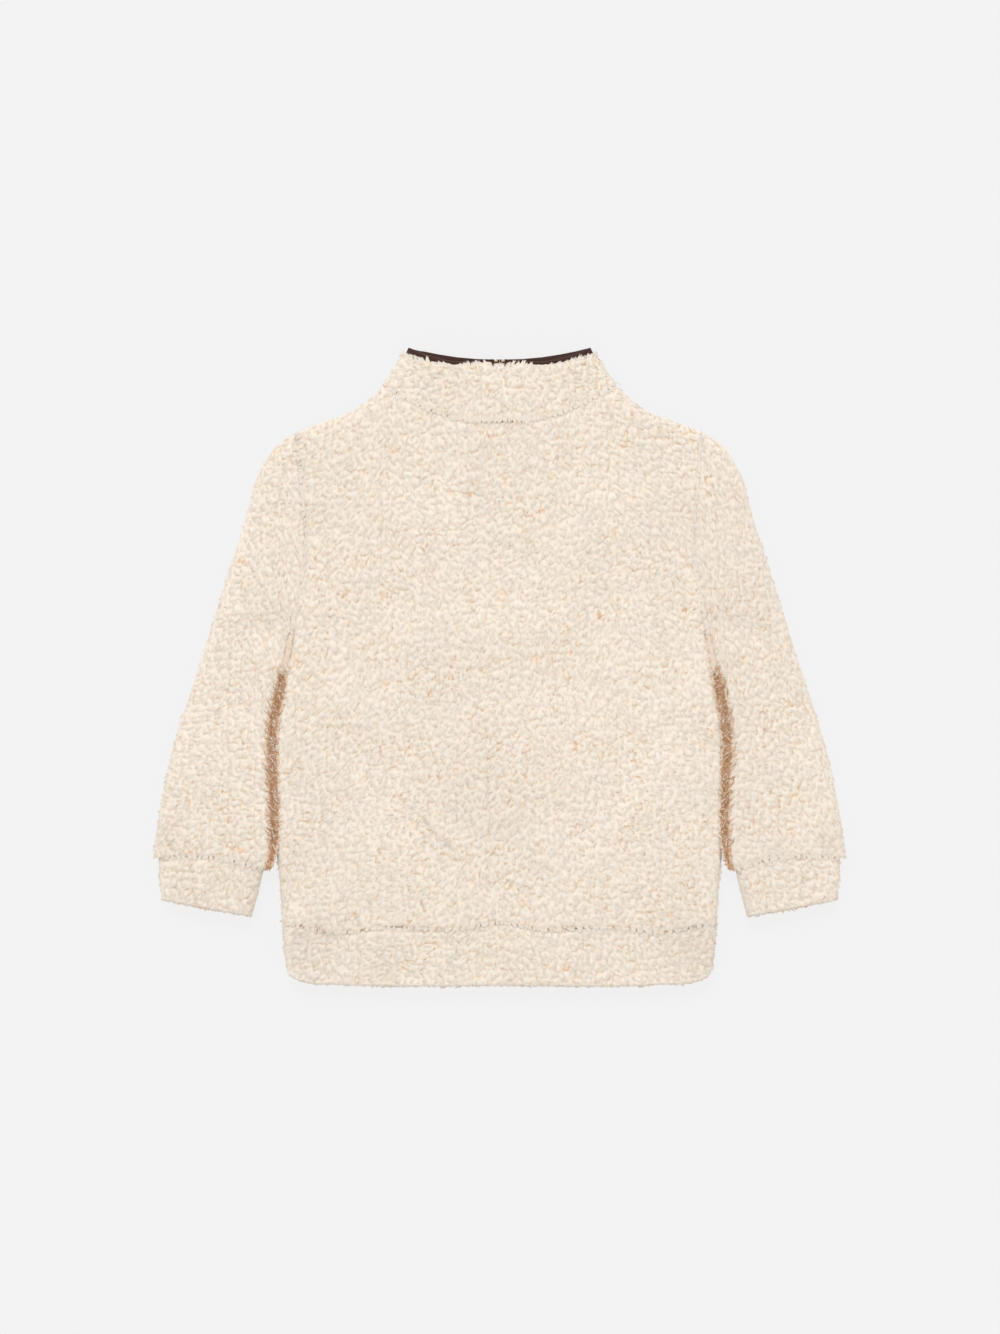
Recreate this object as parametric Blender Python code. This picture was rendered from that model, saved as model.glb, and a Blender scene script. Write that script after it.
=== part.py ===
"""A toddler's teddy-fleece pullover, laid flat with its back up.

It has a stand collar with a bound edge, a short front zip, set-in sleeves, cuffs and a hem band.
The frame is the garment as it lies: +X across it, +Y from hem to collar, +Z up from the floor, with
the origin on the floor at the middle of the garment's box. Plan lines and heights are given in
millimetres, and become metres where a point becomes a vertex.
"""
import math
from collections import namedtuple

import bmesh
import bpy
import numpy
from mathutils import Matrix, Vector
from mathutils.geometry import interpolate_bezier

MM = 0.001

# Heights of the two layers of pile fleece, one lying on the other
FRONT_WALL = 6.0
LAYER_GAP = 1.6
BACK_TOP = 15.6
TALLEST = 18.0
RIM_HEIGHT = 6.8
RIM_HALF = 1.3
RIM_GAP = 0.15
RIM_WIDTH = 6.0
BACK_ROUNDING = 8.0
FRONT_ROUNDING = 6.0
LIP = 2.2
LIP_ROUNDING = 6.0
BACK_INNER = FRONT_WALL + LAYER_GAP

BINDING_HEIGHT = 12.5
BINDING_UNDERSIDE = 2.0

# Seams, where neighbouring pieces keep a gap and the pile dips
SEAM_GAP = 0.3
SEAM_DIP = 2.0
SEAM_DIP_REACH = 6.0

# The front zip
ZIP_BOTTOM = 60.0
SLOT_WIDTH = 11.0
SLOT_TOP = 215.0
SLOT_FLOOR = -3.0
SLOT_CEILING = 6.9
TAPE_WIDTH = 26.0
TAPE_THICKNESS = 0.8
TAPE_UNDERSIDE = 6.3
TAPE_TOP_END = 199.0
TAPE_BOTTOM_END = 54.0
SLIDER_WIDTH = 8.0
SLIDER_LENGTH = 10.0
SLIDER_THICKNESS = 2.3
SLIDER_ALONG = 186.0
LUG_WIDTH = 1.0
LUG_LENGTH = 2.4
LUG_INNER = 1.8
LUG_COVER = 0.3
PIN_HEIGHT = 2.2
PIN_ALONG = 184.0
PIN_RADIUS = 0.45
EYE_HOLE_RADIUS = 0.75
EYE_RADIUS = 1.15
EYE_WIDTH = 3.0
NECK_WIDTH = 2.9
NECK_THICKNESS = 1.0
NECK_COVER = 0.3
PULL_WIDTH = 5.6
PULL_LENGTH = 17.0
PULL_THICKNESS = 1.1
PULL_START = 1.7

# Plan lines of one half of the garment, as distances out from the middle line and along the length
Spot = namedtuple("Spot", "out along")
SIDE_SEAM = (
    Spot(141.3, -165.4),
    Spot(143.6, -133.0),
    Spot(145.4, -116.0),
    Spot(146.0, -76.4),
    Spot(146.8, -42.0),
    Spot(142.0, -15.3),
    Spot(135.2, 20.5),
)
ARMHOLE = (
    Spot(135.2, 20.5),
    Spot(131.3, 43.2),
    Spot(126.7, 67.9),
    Spot(125.5, 87.4),
    Spot(126.7, 101.0),
    Spot(130.9, 153.1),
)
SHOULDER = (
    Spot(130.9, 153.1),
    Spot(113.7, 159.6),
    Spot(99.6, 164.8),
    Spot(84.5, 174.3),
    Spot(76.0, 183.0),
)
BACK_NECK = (
    Spot(76.0, 183.0),
    Spot(64.5, 176.6),
    Spot(45.0, 167.0),
    Spot(21.6, 160.3),
    Spot(0.0, 159.0),
)
FRONT_NECK = (
    Spot(76.0, 183.0),
    Spot(64.5, 176.2),
    Spot(44.0, 160.0),
    Spot(20.0, 151.0),
    Spot(0.0, 149.0),
)
COLLAR_SIDE = (
    Spot(76.0, 183.0),
    Spot(69.5, 192.6),
    Spot(63.4, 203.4),
)
COLLAR_TOP = (
    Spot(63.4, 203.4),
    Spot(50.0, 199.2),
    Spot(32.0, 196.6),
    Spot(0.0, 197.3),
)
FRONT_BINDING_TOP = (
    Spot(60.4, 207.7),
    Spot(46.0, 204.8),
    Spot(30.0, 202.0),
    Spot(14.0, 200.4),
    Spot(0.0, 199.9),
)
BACK_BINDING_TOP = (
    Spot(60.4, 207.7),
    Spot(48.0, 203.4),
    Spot(31.0, 199.0),
    Spot(0.0, 198.9),
)
HEM_SEAM = (
    Spot(141.3, -165.4),
    Spot(103.4, -171.9),
    Spot(75.4, -168.7),
    Spot(26.0, -169.7),
    Spot(0.0, -165.6),
)
BAND_SIDE = (
    Spot(141.3, -165.4),
    Spot(140.2, -181.0),
    Spot(138.6, -195.5),
)
BAND_BOTTOM = (
    Spot(138.6, -195.5),
    Spot(135.4, -201.2),
    Spot(128.6, -204.4),
    Spot(103.4, -206.6),
    Spot(70.9, -207.7),
    Spot(0.0, -207.2),
)
SLEEVE_OUTER = (
    Spot(130.9, 153.1),
    Spot(145.0, 143.3),
    Spot(152.8, 132.3),
    Spot(158.0, 122.5),
    Spot(162.2, 105.6),
    Spot(174.9, 64.7),
    Spot(193.7, 4.9),
    Spot(213.5, -58.8),
    Spot(223.6, -112.1),
    Spot(225.0, -124.0),
)
SLEEVE_INNER = (
    Spot(135.2, 20.5),
    Spot(142.6, -15.3),
    Spot(147.4, -42.0),
    Spot(146.6, -76.4),
    Spot(146.6, -114.0),
    Spot(148.4, -125.0),
    Spot(151.6, -132.6),
)
CUFF_SEAM = (
    Spot(225.0, -124.0),
    Spot(196.0, -122.8),
    Spot(183.6, -123.4),
    Spot(165.1, -127.7),
    Spot(151.6, -132.6),
)
CUFF_OUTER = (
    Spot(221.0, -137.0),
    Spot(219.5, -151.4),
)
CUFF_INNER = (
    Spot(156.6, -146.0),
    Spot(161.0, -162.4),
)
CUFF_END = (
    Spot(219.5, -151.4),
    Spot(190.0, -157.6),
    Spot(161.0, -162.4),
)

# Folds of the upper layer, mirrored about the middle line; a ridge has a height, a trough a negative one
Fold = namedtuple("Fold", "out along turn length width height")
FOLDS = (
    Fold(71.0, -106.0, 58.0, 48.0, 12.0, 1.7),
    Fold(0.0, -118.0, 90.0, 36.0, 22.0, -1.5),
    Fold(84.0, 111.0, 4.0, 36.0, 10.0, 0.9),
    Fold(77.0, 43.0, 20.0, 24.0, 12.0, -1.1),
    Fold(42.0, 30.0, 2.0, 40.0, 11.0, 0.9),
    Fold(96.0, -48.0, 12.0, 30.0, 12.0, -0.9),
    Fold(154.0, 30.0, -16.0, 18.0, 6.0, -1.9),
    Fold(153.0, 12.0, -20.0, 14.0, 7.0, 1.1),
    Fold(186.0, -4.0, 72.0, 30.0, 9.0, -1.1),
    Fold(196.0, -70.0, 78.0, 30.0, 12.0, 1.0),
    Fold(214.0, -110.0, 60.0, 14.0, 9.0, -1.2),
    Fold(128.0, -178.0, -28.0, 20.0, 10.0, -1.8),
)

# Where the grids have their rows and columns, as shares of a piece's length or width
HALF_COLUMNS = (0.0, 0.004, 0.011, 0.028, 0.08, 0.145, 0.21, 0.222, 0.24, 0.31, 0.38, 0.44, 0.5)
SIDE_ROWS = (0.0, 0.007, 0.018, 0.05, 0.09, 0.13, 0.17, 0.21, 0.25, 0.29, 0.33, 0.37, 0.41, 0.45, 0.48)
ARMHOLE_ROWS = (0.5, 0.506, 0.517, 0.54, 0.59, 0.64, 0.7, 0.76, 0.82, 0.88, 0.94, 0.97, 0.986, 0.9955, 1.0)
NECK_BREAK = 0.21
UNDERARM_BREAK = 0.5
SLEEVE_ROWS = tuple(row / 22.0 for row in range(23))
BAND_ROWS = (0.0, 0.05, 0.14, 0.5, 0.86, 1.0)
COLLAR_ROWS = (0.0, 0.12, 0.4, 0.66, 0.86, 0.96, 1.0)
CUFF_ROWS = (0.0, 0.2, 0.5, 0.78, 0.93, 1.0)
BINDING_ROWS = (0.0, 0.5, 1.0)
BINDING_SPAN = (0.016, 0.984)
CUFF_SPAN = (0.05, 0.975)

Finish = namedtuple("Finish", "colour roughness metallic")
PILE = Finish((0.88, 0.79, 0.67), 0.95, 0.0)
TAPE_BROWN = Finish((0.05, 0.021, 0.014), 0.8, 0.0)
ZIP_METAL = Finish((0.42, 0.32, 0.22), 0.35, 1.0)

CURVE_STEPS = 12
ROD_SIDES = 16
SHARP_ANGLE = 50.0
WELD = 0.001
FAR = 1000.0
LEFT = -1.0
RIGHT = 1.0
SIDES = (LEFT, RIGHT)


def smoothed(spots):
    """Return points on a smooth line through the spots, close enough together to read as a curve."""
    knots = [Vector(spot) for spot in spots]
    steps = [far - near for near, far in zip(knots, knots[1:])]
    slopes = [step.normalized() for step in steps]
    tangents = [slopes[0]]
    for near, far, before, after in zip(steps, steps[1:], slopes, slopes[1:]):
        tangents.append((before * far.length + after * near.length) / (near.length + far.length))
    tangents.append(slopes[-1])
    points = [knots[0]]
    for index, step in enumerate(steps):
        reach = step.length / 3.0
        handle = knots[index] + tangents[index] * reach
        far_handle = knots[index + 1] - tangents[index + 1] * reach
        span = interpolate_bezier(knots[index], handle, far_handle, knots[index + 1], CURVE_STEPS)
        points.extend(span[1:])
    return numpy.array([tuple(point) for point in points])


def half(spots, side):
    """Return a half's spots on one side of the garment, as plan points."""
    return [(side * spot.out, spot.along) for spot in spots]


def whole(spots):
    """Return a line from left to right, from a half that runs from its outer end to the middle."""
    return half(spots, LEFT) + half(spots[:-1], RIGHT)[::-1]


class PlanLine:
    """A line on plan made of smooth stretches, read by a share of its length from 0 to 1."""

    def __init__(self, *stretches, breaks=()):
        self.stretches = [smoothed(stretch) for stretch in stretches]
        self.breaks = (0.0, *breaks, 1.0)

    def at(self, share):
        """Return the plan point at a share."""
        index = min(sum(share >= edge for edge in self.breaks[1:-1]), len(self.stretches) - 1)
        low, high = self.breaks[index:index + 2]
        points = self.stretches[index]
        steps = numpy.linalg.norm(numpy.diff(points, axis=0), axis=1)
        lengths = numpy.concatenate(([0.0], numpy.cumsum(steps)))
        reached = (share - low) / (high - low) * lengths[-1]
        return numpy.array([numpy.interp(reached, lengths, points[:, axis]) for axis in (0, 1)])

    def distance(self, point):
        """Return how far a plan point lies from the line."""
        return min(stretch_distance(points, point) for points in self.stretches)


class Span:
    """The part of a plan line between two of its shares."""

    def __init__(self, line, low, high):
        self.line = line
        self.low = low
        self.high = high

    def at(self, share):
        """Return the plan point at a share of the part."""
        return self.line.at(self.low + (self.high - self.low) * share)


def stretch_distance(points, point):
    """Return the shortest distance from a plan point to a chain of points."""
    starts = points[:-1]
    steps = numpy.diff(points, axis=0)
    shares = numpy.sum((point - starts) * steps, axis=1) / numpy.sum(steps * steps, axis=1)
    nearest = starts + steps * numpy.clip(shares, 0.0, 1.0)[:, None]
    return float(numpy.min(numpy.linalg.norm(nearest - point, axis=1)))


class Patch:
    """A stretch of plan between a foot and a head line across it, and a left and a right line along it."""

    def __init__(self, foot, head, left, right, foot_shift=(0.0, 0.0), head_shift=(0.0, 0.0), squeeze=0.0):
        self.foot = foot
        self.head = head
        self.left = left
        self.right = right
        self.foot_shift = numpy.array(foot_shift)
        self.head_shift = numpy.array(head_shift)
        self.squeeze = squeeze

    def at(self, across, along):
        """Return the plan point at shares across and along, moved by the gaps at the piece's seams."""
        upward = self.foot.at(across) * (1.0 - along) + self.head.at(across) * along
        sideways = self.left.at(along) * (1.0 - across) + self.right.at(along) * across
        low = self.foot.at(0.0) * (1.0 - across) + self.foot.at(1.0) * across
        high = self.head.at(0.0) * (1.0 - across) + self.head.at(1.0) * across
        point = upward + sideways - low * (1.0 - along) - high * along
        point += self.foot_shift * (1.0 - along) + self.head_shift * along
        point[0] += self.squeeze * (1.0 - 2.0 * across)
        return point

    def width(self, along):
        """Return the width at a share along."""
        return float(numpy.linalg.norm(self.right.at(along) - self.left.at(along)))


def crown(distance, reach):
    """Return 0 at a rounded edge and 1 from reach on, along a quarter of an ellipse."""
    share = min(distance / reach, 1.0)
    return math.sqrt(1.0 - (1.0 - share) ** 2)


def nearest(lines, point):
    """Return the distance from a plan point to the nearest of the lines."""
    return min((line.distance(point) for line in lines), default=FAR)


def fold_height(point):
    """Return how far the folds lift or lower the upper layer at a plan point."""
    height = 0.0
    for fold in FOLDS:
        turn = math.radians(fold.turn)
        out = abs(point[0]) - fold.out
        up = point[1] - fold.along
        lengthwise = (out * math.cos(turn) + up * math.sin(turn)) / fold.length
        crosswise = (up * math.cos(turn) - out * math.sin(turn)) / fold.width
        height += fold.height * math.exp(-lengthwise ** 2 - crosswise ** 2)
    return height


class Relief:
    """The heights of a piece's outer faces, from its rounded edges, its sewn seams and its free ends."""

    def __init__(self, rounded, seams=(), ends=(), top=BACK_TOP, underside=0.0):
        self.rounded = rounded
        self.seams = seams
        self.ends = ends
        self.top = top
        self.underside = underside

    def back(self, point):
        """Return the height of the upper layer's outer face."""
        roundness = crown(nearest(self.rounded, point), BACK_ROUNDING)
        rim = RIM_HEIGHT + RIM_HALF
        dip = max(0.0, 1.0 - nearest(self.seams, point) / SEAM_DIP_REACH) ** 2
        height = rim + (self.top - rim + fold_height(point) - SEAM_DIP * dip) * roundness
        lip = BACK_INNER + LIP
        limit = lip + (TALLEST - lip) * crown(nearest(self.ends, point), LIP_ROUNDING)
        return min(height, limit)

    def front(self, point):
        """Return the height of the lower layer's outer face."""
        roundness = crown(nearest(self.rounded, point), FRONT_ROUNDING)
        rim = RIM_HEIGHT - RIM_HALF
        height = self.underside + (rim - self.underside) * (1.0 - roundness)
        lip = FRONT_WALL - LIP
        limit = lip * (1.0 - crown(nearest(self.ends, point), LIP_ROUNDING))
        return max(height, limit)


def mirrored(shares):
    """Return shares over a whole width from those of its first half."""
    return [*shares, *(1.0 - share for share in shares[-2::-1])]


def add_grid(mesh, across, along, place):
    """Add a grid of faces whose point in column i and row j stands at place(i, j)."""
    made = bmesh.ops.create_grid(mesh, x_segments=across, y_segments=along, size=1.0)
    for vertex in made["verts"]:
        column = round((vertex.co.x + 1.0) / 2.0 * across)
        row = round((vertex.co.y + 1.0) / 2.0 * along)
        vertex.co = Vector(place(column, row)) * MM


def add_piece(name, mesh, finish):
    """Close a mesh's normals and make it a named object of the garment with its own material."""
    bmesh.ops.remove_doubles(mesh, verts=mesh.verts, dist=WELD * MM)
    bmesh.ops.recalc_face_normals(mesh, faces=mesh.faces)
    data = bpy.data.meshes.new(name)
    mesh.to_mesh(data)
    mesh.free()
    data.shade_smooth()
    data.set_sharp_from_angle(angle=math.radians(SHARP_ANGLE))
    piece = bpy.data.objects.new(name, data)
    data.materials.append(new_material(name, finish))
    garment.objects.link(piece)
    return piece


def new_material(name, finish):
    """Return a material of one finish for the named piece."""
    material = bpy.data.materials.new(name)
    material.use_nodes = True
    shader = material.node_tree.nodes["Principled BSDF"]
    shader.inputs["Base Color"].default_value = (*finish.colour, 1.0)
    shader.inputs["Roughness"].default_value = finish.roughness
    shader.inputs["Metallic"].default_value = finish.metallic
    return material


def add_panel(name, patch, columns, rows, outer, inner):
    """Add a panel: an outer and an inner sheet over one patch, bridged all round their border."""
    mesh = bmesh.new()
    for height in (outer, inner):
        def place(column, row):
            point = patch.at(columns[column], rows[row])
            return (*point, height(point))
        add_grid(mesh, len(columns) - 1, len(rows) - 1, place)
    border = [edge for edge in mesh.edges if edge.is_boundary]
    bmesh.ops.bridge_loops(mesh, edges=border)
    return add_piece(name, mesh, PILE)


def add_tube(name, patch, relief, columns, rows, front_patch=None, finish=PILE):
    """Add a flattened tube with a wall: one grid that wraps round the tube and round its wall."""
    front_patch = front_patch or patch
    ring = [(share, True) for share in columns] + [(share, False) for share in reversed(columns)]
    wall = [(share, True) for share in rows] + [(share, False) for share in reversed(rows)]

    def place(column, row):
        across, is_back = ring[column % len(ring)]
        along, is_outer = wall[row % len(wall)]
        plan = patch if is_back else front_patch
        if is_outer:
            point = plan.at(across, along)
            return (*point, relief.back(point) if is_back else relief.front(point))
        margin = RIM_WIDTH / plan.width(along)
        point = plan.at(min(max(across, margin), 1.0 - margin), along)
        return (*point, BACK_INNER if is_back else FRONT_WALL)

    mesh = bmesh.new()
    add_grid(mesh, len(ring), len(wall), place)
    return add_piece(name, mesh, finish)


def add_box(mesh, centre, size):
    """Add a box of a size in millimetres about its centre."""
    placed = Matrix.Translation(Vector(centre) * MM) @ Matrix.Diagonal((*(Vector(size) * MM), 1.0))
    bmesh.ops.create_cube(mesh, size=1.0, matrix=placed)


def add_rod(mesh, centre, radius, length):
    """Add a rod along X of a radius and length in millimetres about its centre."""
    placed = Matrix.Translation(Vector(centre) * MM) @ Matrix.Rotation(math.radians(90.0), 4, "Y")
    bmesh.ops.create_cone(
        mesh,
        cap_ends=True,
        segments=ROD_SIDES,
        radius1=radius * MM,
        radius2=radius * MM,
        depth=length * MM,
        matrix=placed,
    )


def add_tool(name, shape, *values):
    """Add a hidden solid that only cuts or joins, and return it."""
    mesh = bmesh.new()
    shape(mesh, *values)
    data = bpy.data.meshes.new(name)
    mesh.to_mesh(data)
    mesh.free()
    tool = bpy.data.objects.new(name, data)
    tool.hide_render = True
    tool.display_type = "WIRE"
    tools.objects.link(tool)
    return tool


def combine(piece, tool, operation):
    """Cut a piece by a hidden solid, or join the solid to it."""
    boolean = piece.modifiers.new(tool.name, "BOOLEAN")
    boolean.operation = operation
    boolean.solver = "EXACT"
    boolean.object = tool


def rim_ramp(relief, point):
    """Return 0 on the narrow rim along a rounded edge, and 1 where the two layers lie apart."""
    distance = nearest(relief.rounded, point)
    return min(max(distance / RIM_WIDTH * 2.0 - 1.0, 0.0), 1.0)


def build_body():
    """Add the back and front panels."""
    columns = mirrored(HALF_COLUMNS)
    rows = SIDE_ROWS + ARMHOLE_ROWS
    sides = [PlanLine(half(SIDE_SEAM, side), half(ARMHOLE, side), breaks=(UNDERARM_BREAK,)) for side in SIDES]
    side_seams = [PlanLine(half(SIDE_SEAM, side)) for side in SIDES]
    armholes = [PlanLine(half(ARMHOLE, side)) for side in SIDES]
    shoulders = [PlanLine(half(SHOULDER, side)) for side in SIDES]
    hem = PlanLine(whole(HEM_SEAM))
    gap = SEAM_GAP / 2.0
    for name, neck in (("back", BACK_NECK), ("front", FRONT_NECK)):
        head = PlanLine(
            half(SHOULDER, LEFT),
            whole(neck),
            half(SHOULDER, RIGHT)[::-1],
            breaks=(NECK_BREAK, 1.0 - NECK_BREAK),
        )
        patch = Patch(hem, head, *sides, foot_shift=(0.0, gap), head_shift=(0.0, -gap), squeeze=gap)
        relief = Relief(side_seams + shoulders, [hem, PlanLine(whole(neck)), *armholes])

        def back_inner(point):
            rim = RIM_HEIGHT + RIM_GAP
            return rim + (BACK_INNER - rim) * rim_ramp(relief, point)

        def front_inner(point):
            rim = RIM_HEIGHT - RIM_GAP
            return rim + (FRONT_WALL - rim) * rim_ramp(relief, point)

        if name == "back":
            add_panel(name, patch, columns, rows, relief.back, back_inner)
        else:
            combine(add_panel(name, patch, columns, rows, relief.front, front_inner), zip_slot, "DIFFERENCE")


def build_sleeves():
    """Add the sleeves and their cuffs."""
    armhole_shares = [(row - UNDERARM_BREAK) / (1.0 - UNDERARM_BREAK) for row in ARMHOLE_ROWS]
    columns = [1.0 - share for share in reversed(armhole_shares)]
    gap = SEAM_GAP / 2.0
    for word, side in (("left", LEFT), ("right", RIGHT)):
        armhole = PlanLine(half(ARMHOLE, side)[::-1])
        outer = PlanLine(half(SLEEVE_OUTER, side))
        inner = PlanLine(half(SLEEVE_INNER, side))
        cuff_seam = PlanLine(half(CUFF_SEAM, side))
        patch = Patch(armhole, cuff_seam, outer, inner, foot_shift=(side * gap, 0.0), head_shift=(0.0, gap))
        relief = Relief([outer, inner], [armhole, cuff_seam])
        add_tube("sleeve_" + word, patch, relief, columns, SLEEVE_ROWS)

        cuff_head = Span(cuff_seam, *CUFF_SPAN)
        cuff_outer = PlanLine([tuple(cuff_head.at(0.0)), *half(CUFF_OUTER, side)])
        cuff_inner = PlanLine([tuple(cuff_head.at(1.0)), *half(CUFF_INNER, side)])
        cuff_end = PlanLine(half(CUFF_END, side))
        patch = Patch(cuff_head, cuff_end, cuff_outer, cuff_inner, foot_shift=(0.0, -gap))
        relief = Relief([cuff_outer, cuff_inner], [cuff_seam], [cuff_end])
        add_tube("cuff_" + word, patch, relief, columns, CUFF_ROWS)


def build_hem_band():
    """Add the band round the hem."""
    sides = [PlanLine(half(BAND_SIDE, side)[::-1]) for side in SIDES]
    seam = PlanLine(whole(HEM_SEAM))
    bottom = PlanLine(whole(BAND_BOTTOM))
    patch = Patch(bottom, seam, *sides, head_shift=(0.0, -SEAM_GAP / 2.0))
    relief = Relief(sides, [seam], [bottom])
    add_tube("hem_band", patch, relief, mirrored(HALF_COLUMNS), BAND_ROWS)


def build_collar():
    """Add the stand collar and the binding along its top edge, both slit for the zip."""
    neck_columns = [share for share in HALF_COLUMNS if share >= NECK_BREAK]
    columns = mirrored([(share - NECK_BREAK) / (1.0 - 2.0 * NECK_BREAK) for share in neck_columns])
    sides = [PlanLine(half(COLLAR_SIDE, side)) for side in SIDES]
    back_neck = PlanLine(whole(BACK_NECK))
    head = PlanLine(whole(COLLAR_TOP))
    gap = SEAM_GAP / 2.0
    shifts = {"foot_shift": (0.0, gap), "head_shift": (0.0, -gap)}
    back_patch = Patch(back_neck, head, *sides, **shifts)
    front_patch = Patch(PlanLine(whole(FRONT_NECK)), head, *sides, **shifts)
    relief = Relief(sides, [back_neck], [head])
    collar = add_tube("collar", back_patch, relief, columns, COLLAR_ROWS, front_patch)
    combine(collar, zip_slot, "DIFFERENCE")

    foot = Span(head, *BINDING_SPAN)
    patches = []
    for spots in (BACK_BINDING_TOP, FRONT_BINDING_TOP):
        top = PlanLine(whole(spots))
        sides = [PlanLine([tuple(foot.at(share)), tuple(top.at(share))]) for share in (0.0, 1.0)]
        patches.append(Patch(foot, top, *sides, foot_shift=(0.0, gap)))
    relief = Relief(sides, top=BINDING_HEIGHT, underside=BINDING_UNDERSIDE)
    binding = add_tube("collar_binding", patches[0], relief, columns, BINDING_ROWS, patches[1], TAPE_BROWN)
    combine(binding, zip_slot, "DIFFERENCE")


def build_zip():
    """Add the zip's tape, its slider and the pull tab that hangs on the slider's pin."""
    mesh = bmesh.new()
    tape_middle = (TAPE_TOP_END + TAPE_BOTTOM_END) / 2.0
    tape_centre = (0.0, tape_middle, TAPE_UNDERSIDE + TAPE_THICKNESS / 2.0)
    add_box(mesh, tape_centre, (TAPE_WIDTH, TAPE_TOP_END - TAPE_BOTTOM_END, TAPE_THICKNESS))
    add_piece("zip_tape", mesh, TAPE_BROWN)

    slider_top = TAPE_UNDERSIDE - SEAM_GAP
    slider_foot = slider_top - SLIDER_THICKNESS
    mesh = bmesh.new()
    slider_centre = (0.0, SLIDER_ALONG, slider_top - SLIDER_THICKNESS / 2.0)
    add_box(mesh, slider_centre, (SLIDER_WIDTH, SLIDER_LENGTH, SLIDER_THICKNESS))
    slider = add_piece("zip_slider", mesh, ZIP_METAL)
    lug_low = PIN_HEIGHT - PIN_RADIUS - LUG_COVER
    lug_high = slider_foot + LUG_COVER
    lug_out = LUG_INNER + LUG_WIDTH / 2.0
    for word, side in (("left", LEFT), ("right", RIGHT)):
        centre = (side * lug_out, PIN_ALONG, (lug_low + lug_high) / 2.0)
        lug = add_tool("slider_lug_" + word, add_box, centre, (LUG_WIDTH, LUG_LENGTH, lug_high - lug_low))
        combine(slider, lug, "UNION")
    pin_centre = (0.0, PIN_ALONG, PIN_HEIGHT)
    pin = add_tool("slider_pin", add_rod, pin_centre, PIN_RADIUS, 2.0 * lug_out)
    combine(slider, pin, "UNION")

    mesh = bmesh.new()
    plate_length = PULL_LENGTH - PULL_START
    plate_centre = (0.0, PIN_ALONG - PULL_START - plate_length / 2.0, PIN_HEIGHT)
    add_box(mesh, plate_centre, (PULL_WIDTH, plate_length, PULL_THICKNESS))
    pull = add_piece("zip_pull", mesh, ZIP_METAL)
    neck_length = PULL_START - EYE_HOLE_RADIUS + NECK_COVER
    neck_centre = (0.0, PIN_ALONG - EYE_HOLE_RADIUS - neck_length / 2.0, PIN_HEIGHT)
    neck = add_tool("pull_neck", add_box, neck_centre, (NECK_WIDTH, neck_length, NECK_THICKNESS))
    eye = add_tool("pull_eye", add_rod, pin_centre, EYE_RADIUS, EYE_WIDTH)
    hole = add_tool("pull_hole", add_rod, pin_centre, EYE_HOLE_RADIUS, PULL_WIDTH)
    combine(pull, neck, "UNION")
    combine(pull, eye, "UNION")
    combine(pull, hole, "DIFFERENCE")


for stale in list(bpy.data.objects):
    bpy.data.objects.remove(stale, do_unlink=True)
garment = bpy.data.collections.new("fleece_pullover")
tools = bpy.data.collections.new("cutters")
bpy.context.scene.collection.children.link(garment)
bpy.context.scene.collection.children.link(tools)

slot_length = SLOT_TOP - ZIP_BOTTOM
slot_height = SLOT_CEILING - SLOT_FLOOR
slot_centre = (0.0, ZIP_BOTTOM + slot_length / 2.0, SLOT_FLOOR + slot_height / 2.0)
zip_slot = add_tool("zip_slot", add_box, slot_centre, (SLOT_WIDTH, slot_length, slot_height))
build_body()
build_sleeves()
build_hem_band()
build_collar()
build_zip()
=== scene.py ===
"""Looks of a toddler's teddy-fleece pullover, laid flat with its back up.

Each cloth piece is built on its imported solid's own plan lines and heights, with the pile's tufts raised on it
and locks of pile laid over it. Plan lines and heights are in millimetres, and become metres where a point
becomes a vertex: +X across the garment, +Y from hem to collar, +Z up from the floor.
"""

import logging
import math
from dataclasses import dataclass, field
from enum import Enum
from typing import Callable, NamedTuple, Sequence

import bpy
import numpy as np
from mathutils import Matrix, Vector
from mathutils.geometry import interpolate_bezier


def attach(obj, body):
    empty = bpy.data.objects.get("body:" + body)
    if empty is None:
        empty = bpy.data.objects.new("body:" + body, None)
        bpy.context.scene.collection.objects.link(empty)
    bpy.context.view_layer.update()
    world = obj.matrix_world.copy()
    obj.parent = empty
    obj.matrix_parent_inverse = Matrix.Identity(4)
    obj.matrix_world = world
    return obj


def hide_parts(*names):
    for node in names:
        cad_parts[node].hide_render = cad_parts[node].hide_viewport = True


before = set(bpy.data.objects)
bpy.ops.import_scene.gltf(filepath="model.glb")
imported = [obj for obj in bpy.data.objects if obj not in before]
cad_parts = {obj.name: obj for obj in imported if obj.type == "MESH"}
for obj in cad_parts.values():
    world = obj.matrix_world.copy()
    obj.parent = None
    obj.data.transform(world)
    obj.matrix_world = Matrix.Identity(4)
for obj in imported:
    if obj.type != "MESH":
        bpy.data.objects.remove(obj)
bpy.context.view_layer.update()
GARMENT = "garment"
PULL_TAB = "zip_pull_tab"

Points = np.ndarray
Values = np.ndarray
Spots = Sequence[tuple[float, float]]
Keep = Callable[[Points], Values]
Triple = tuple[float, float, float]
Colour = Triple
MM = 0.001
LOG = logging.getLogger("pullover")

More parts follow.
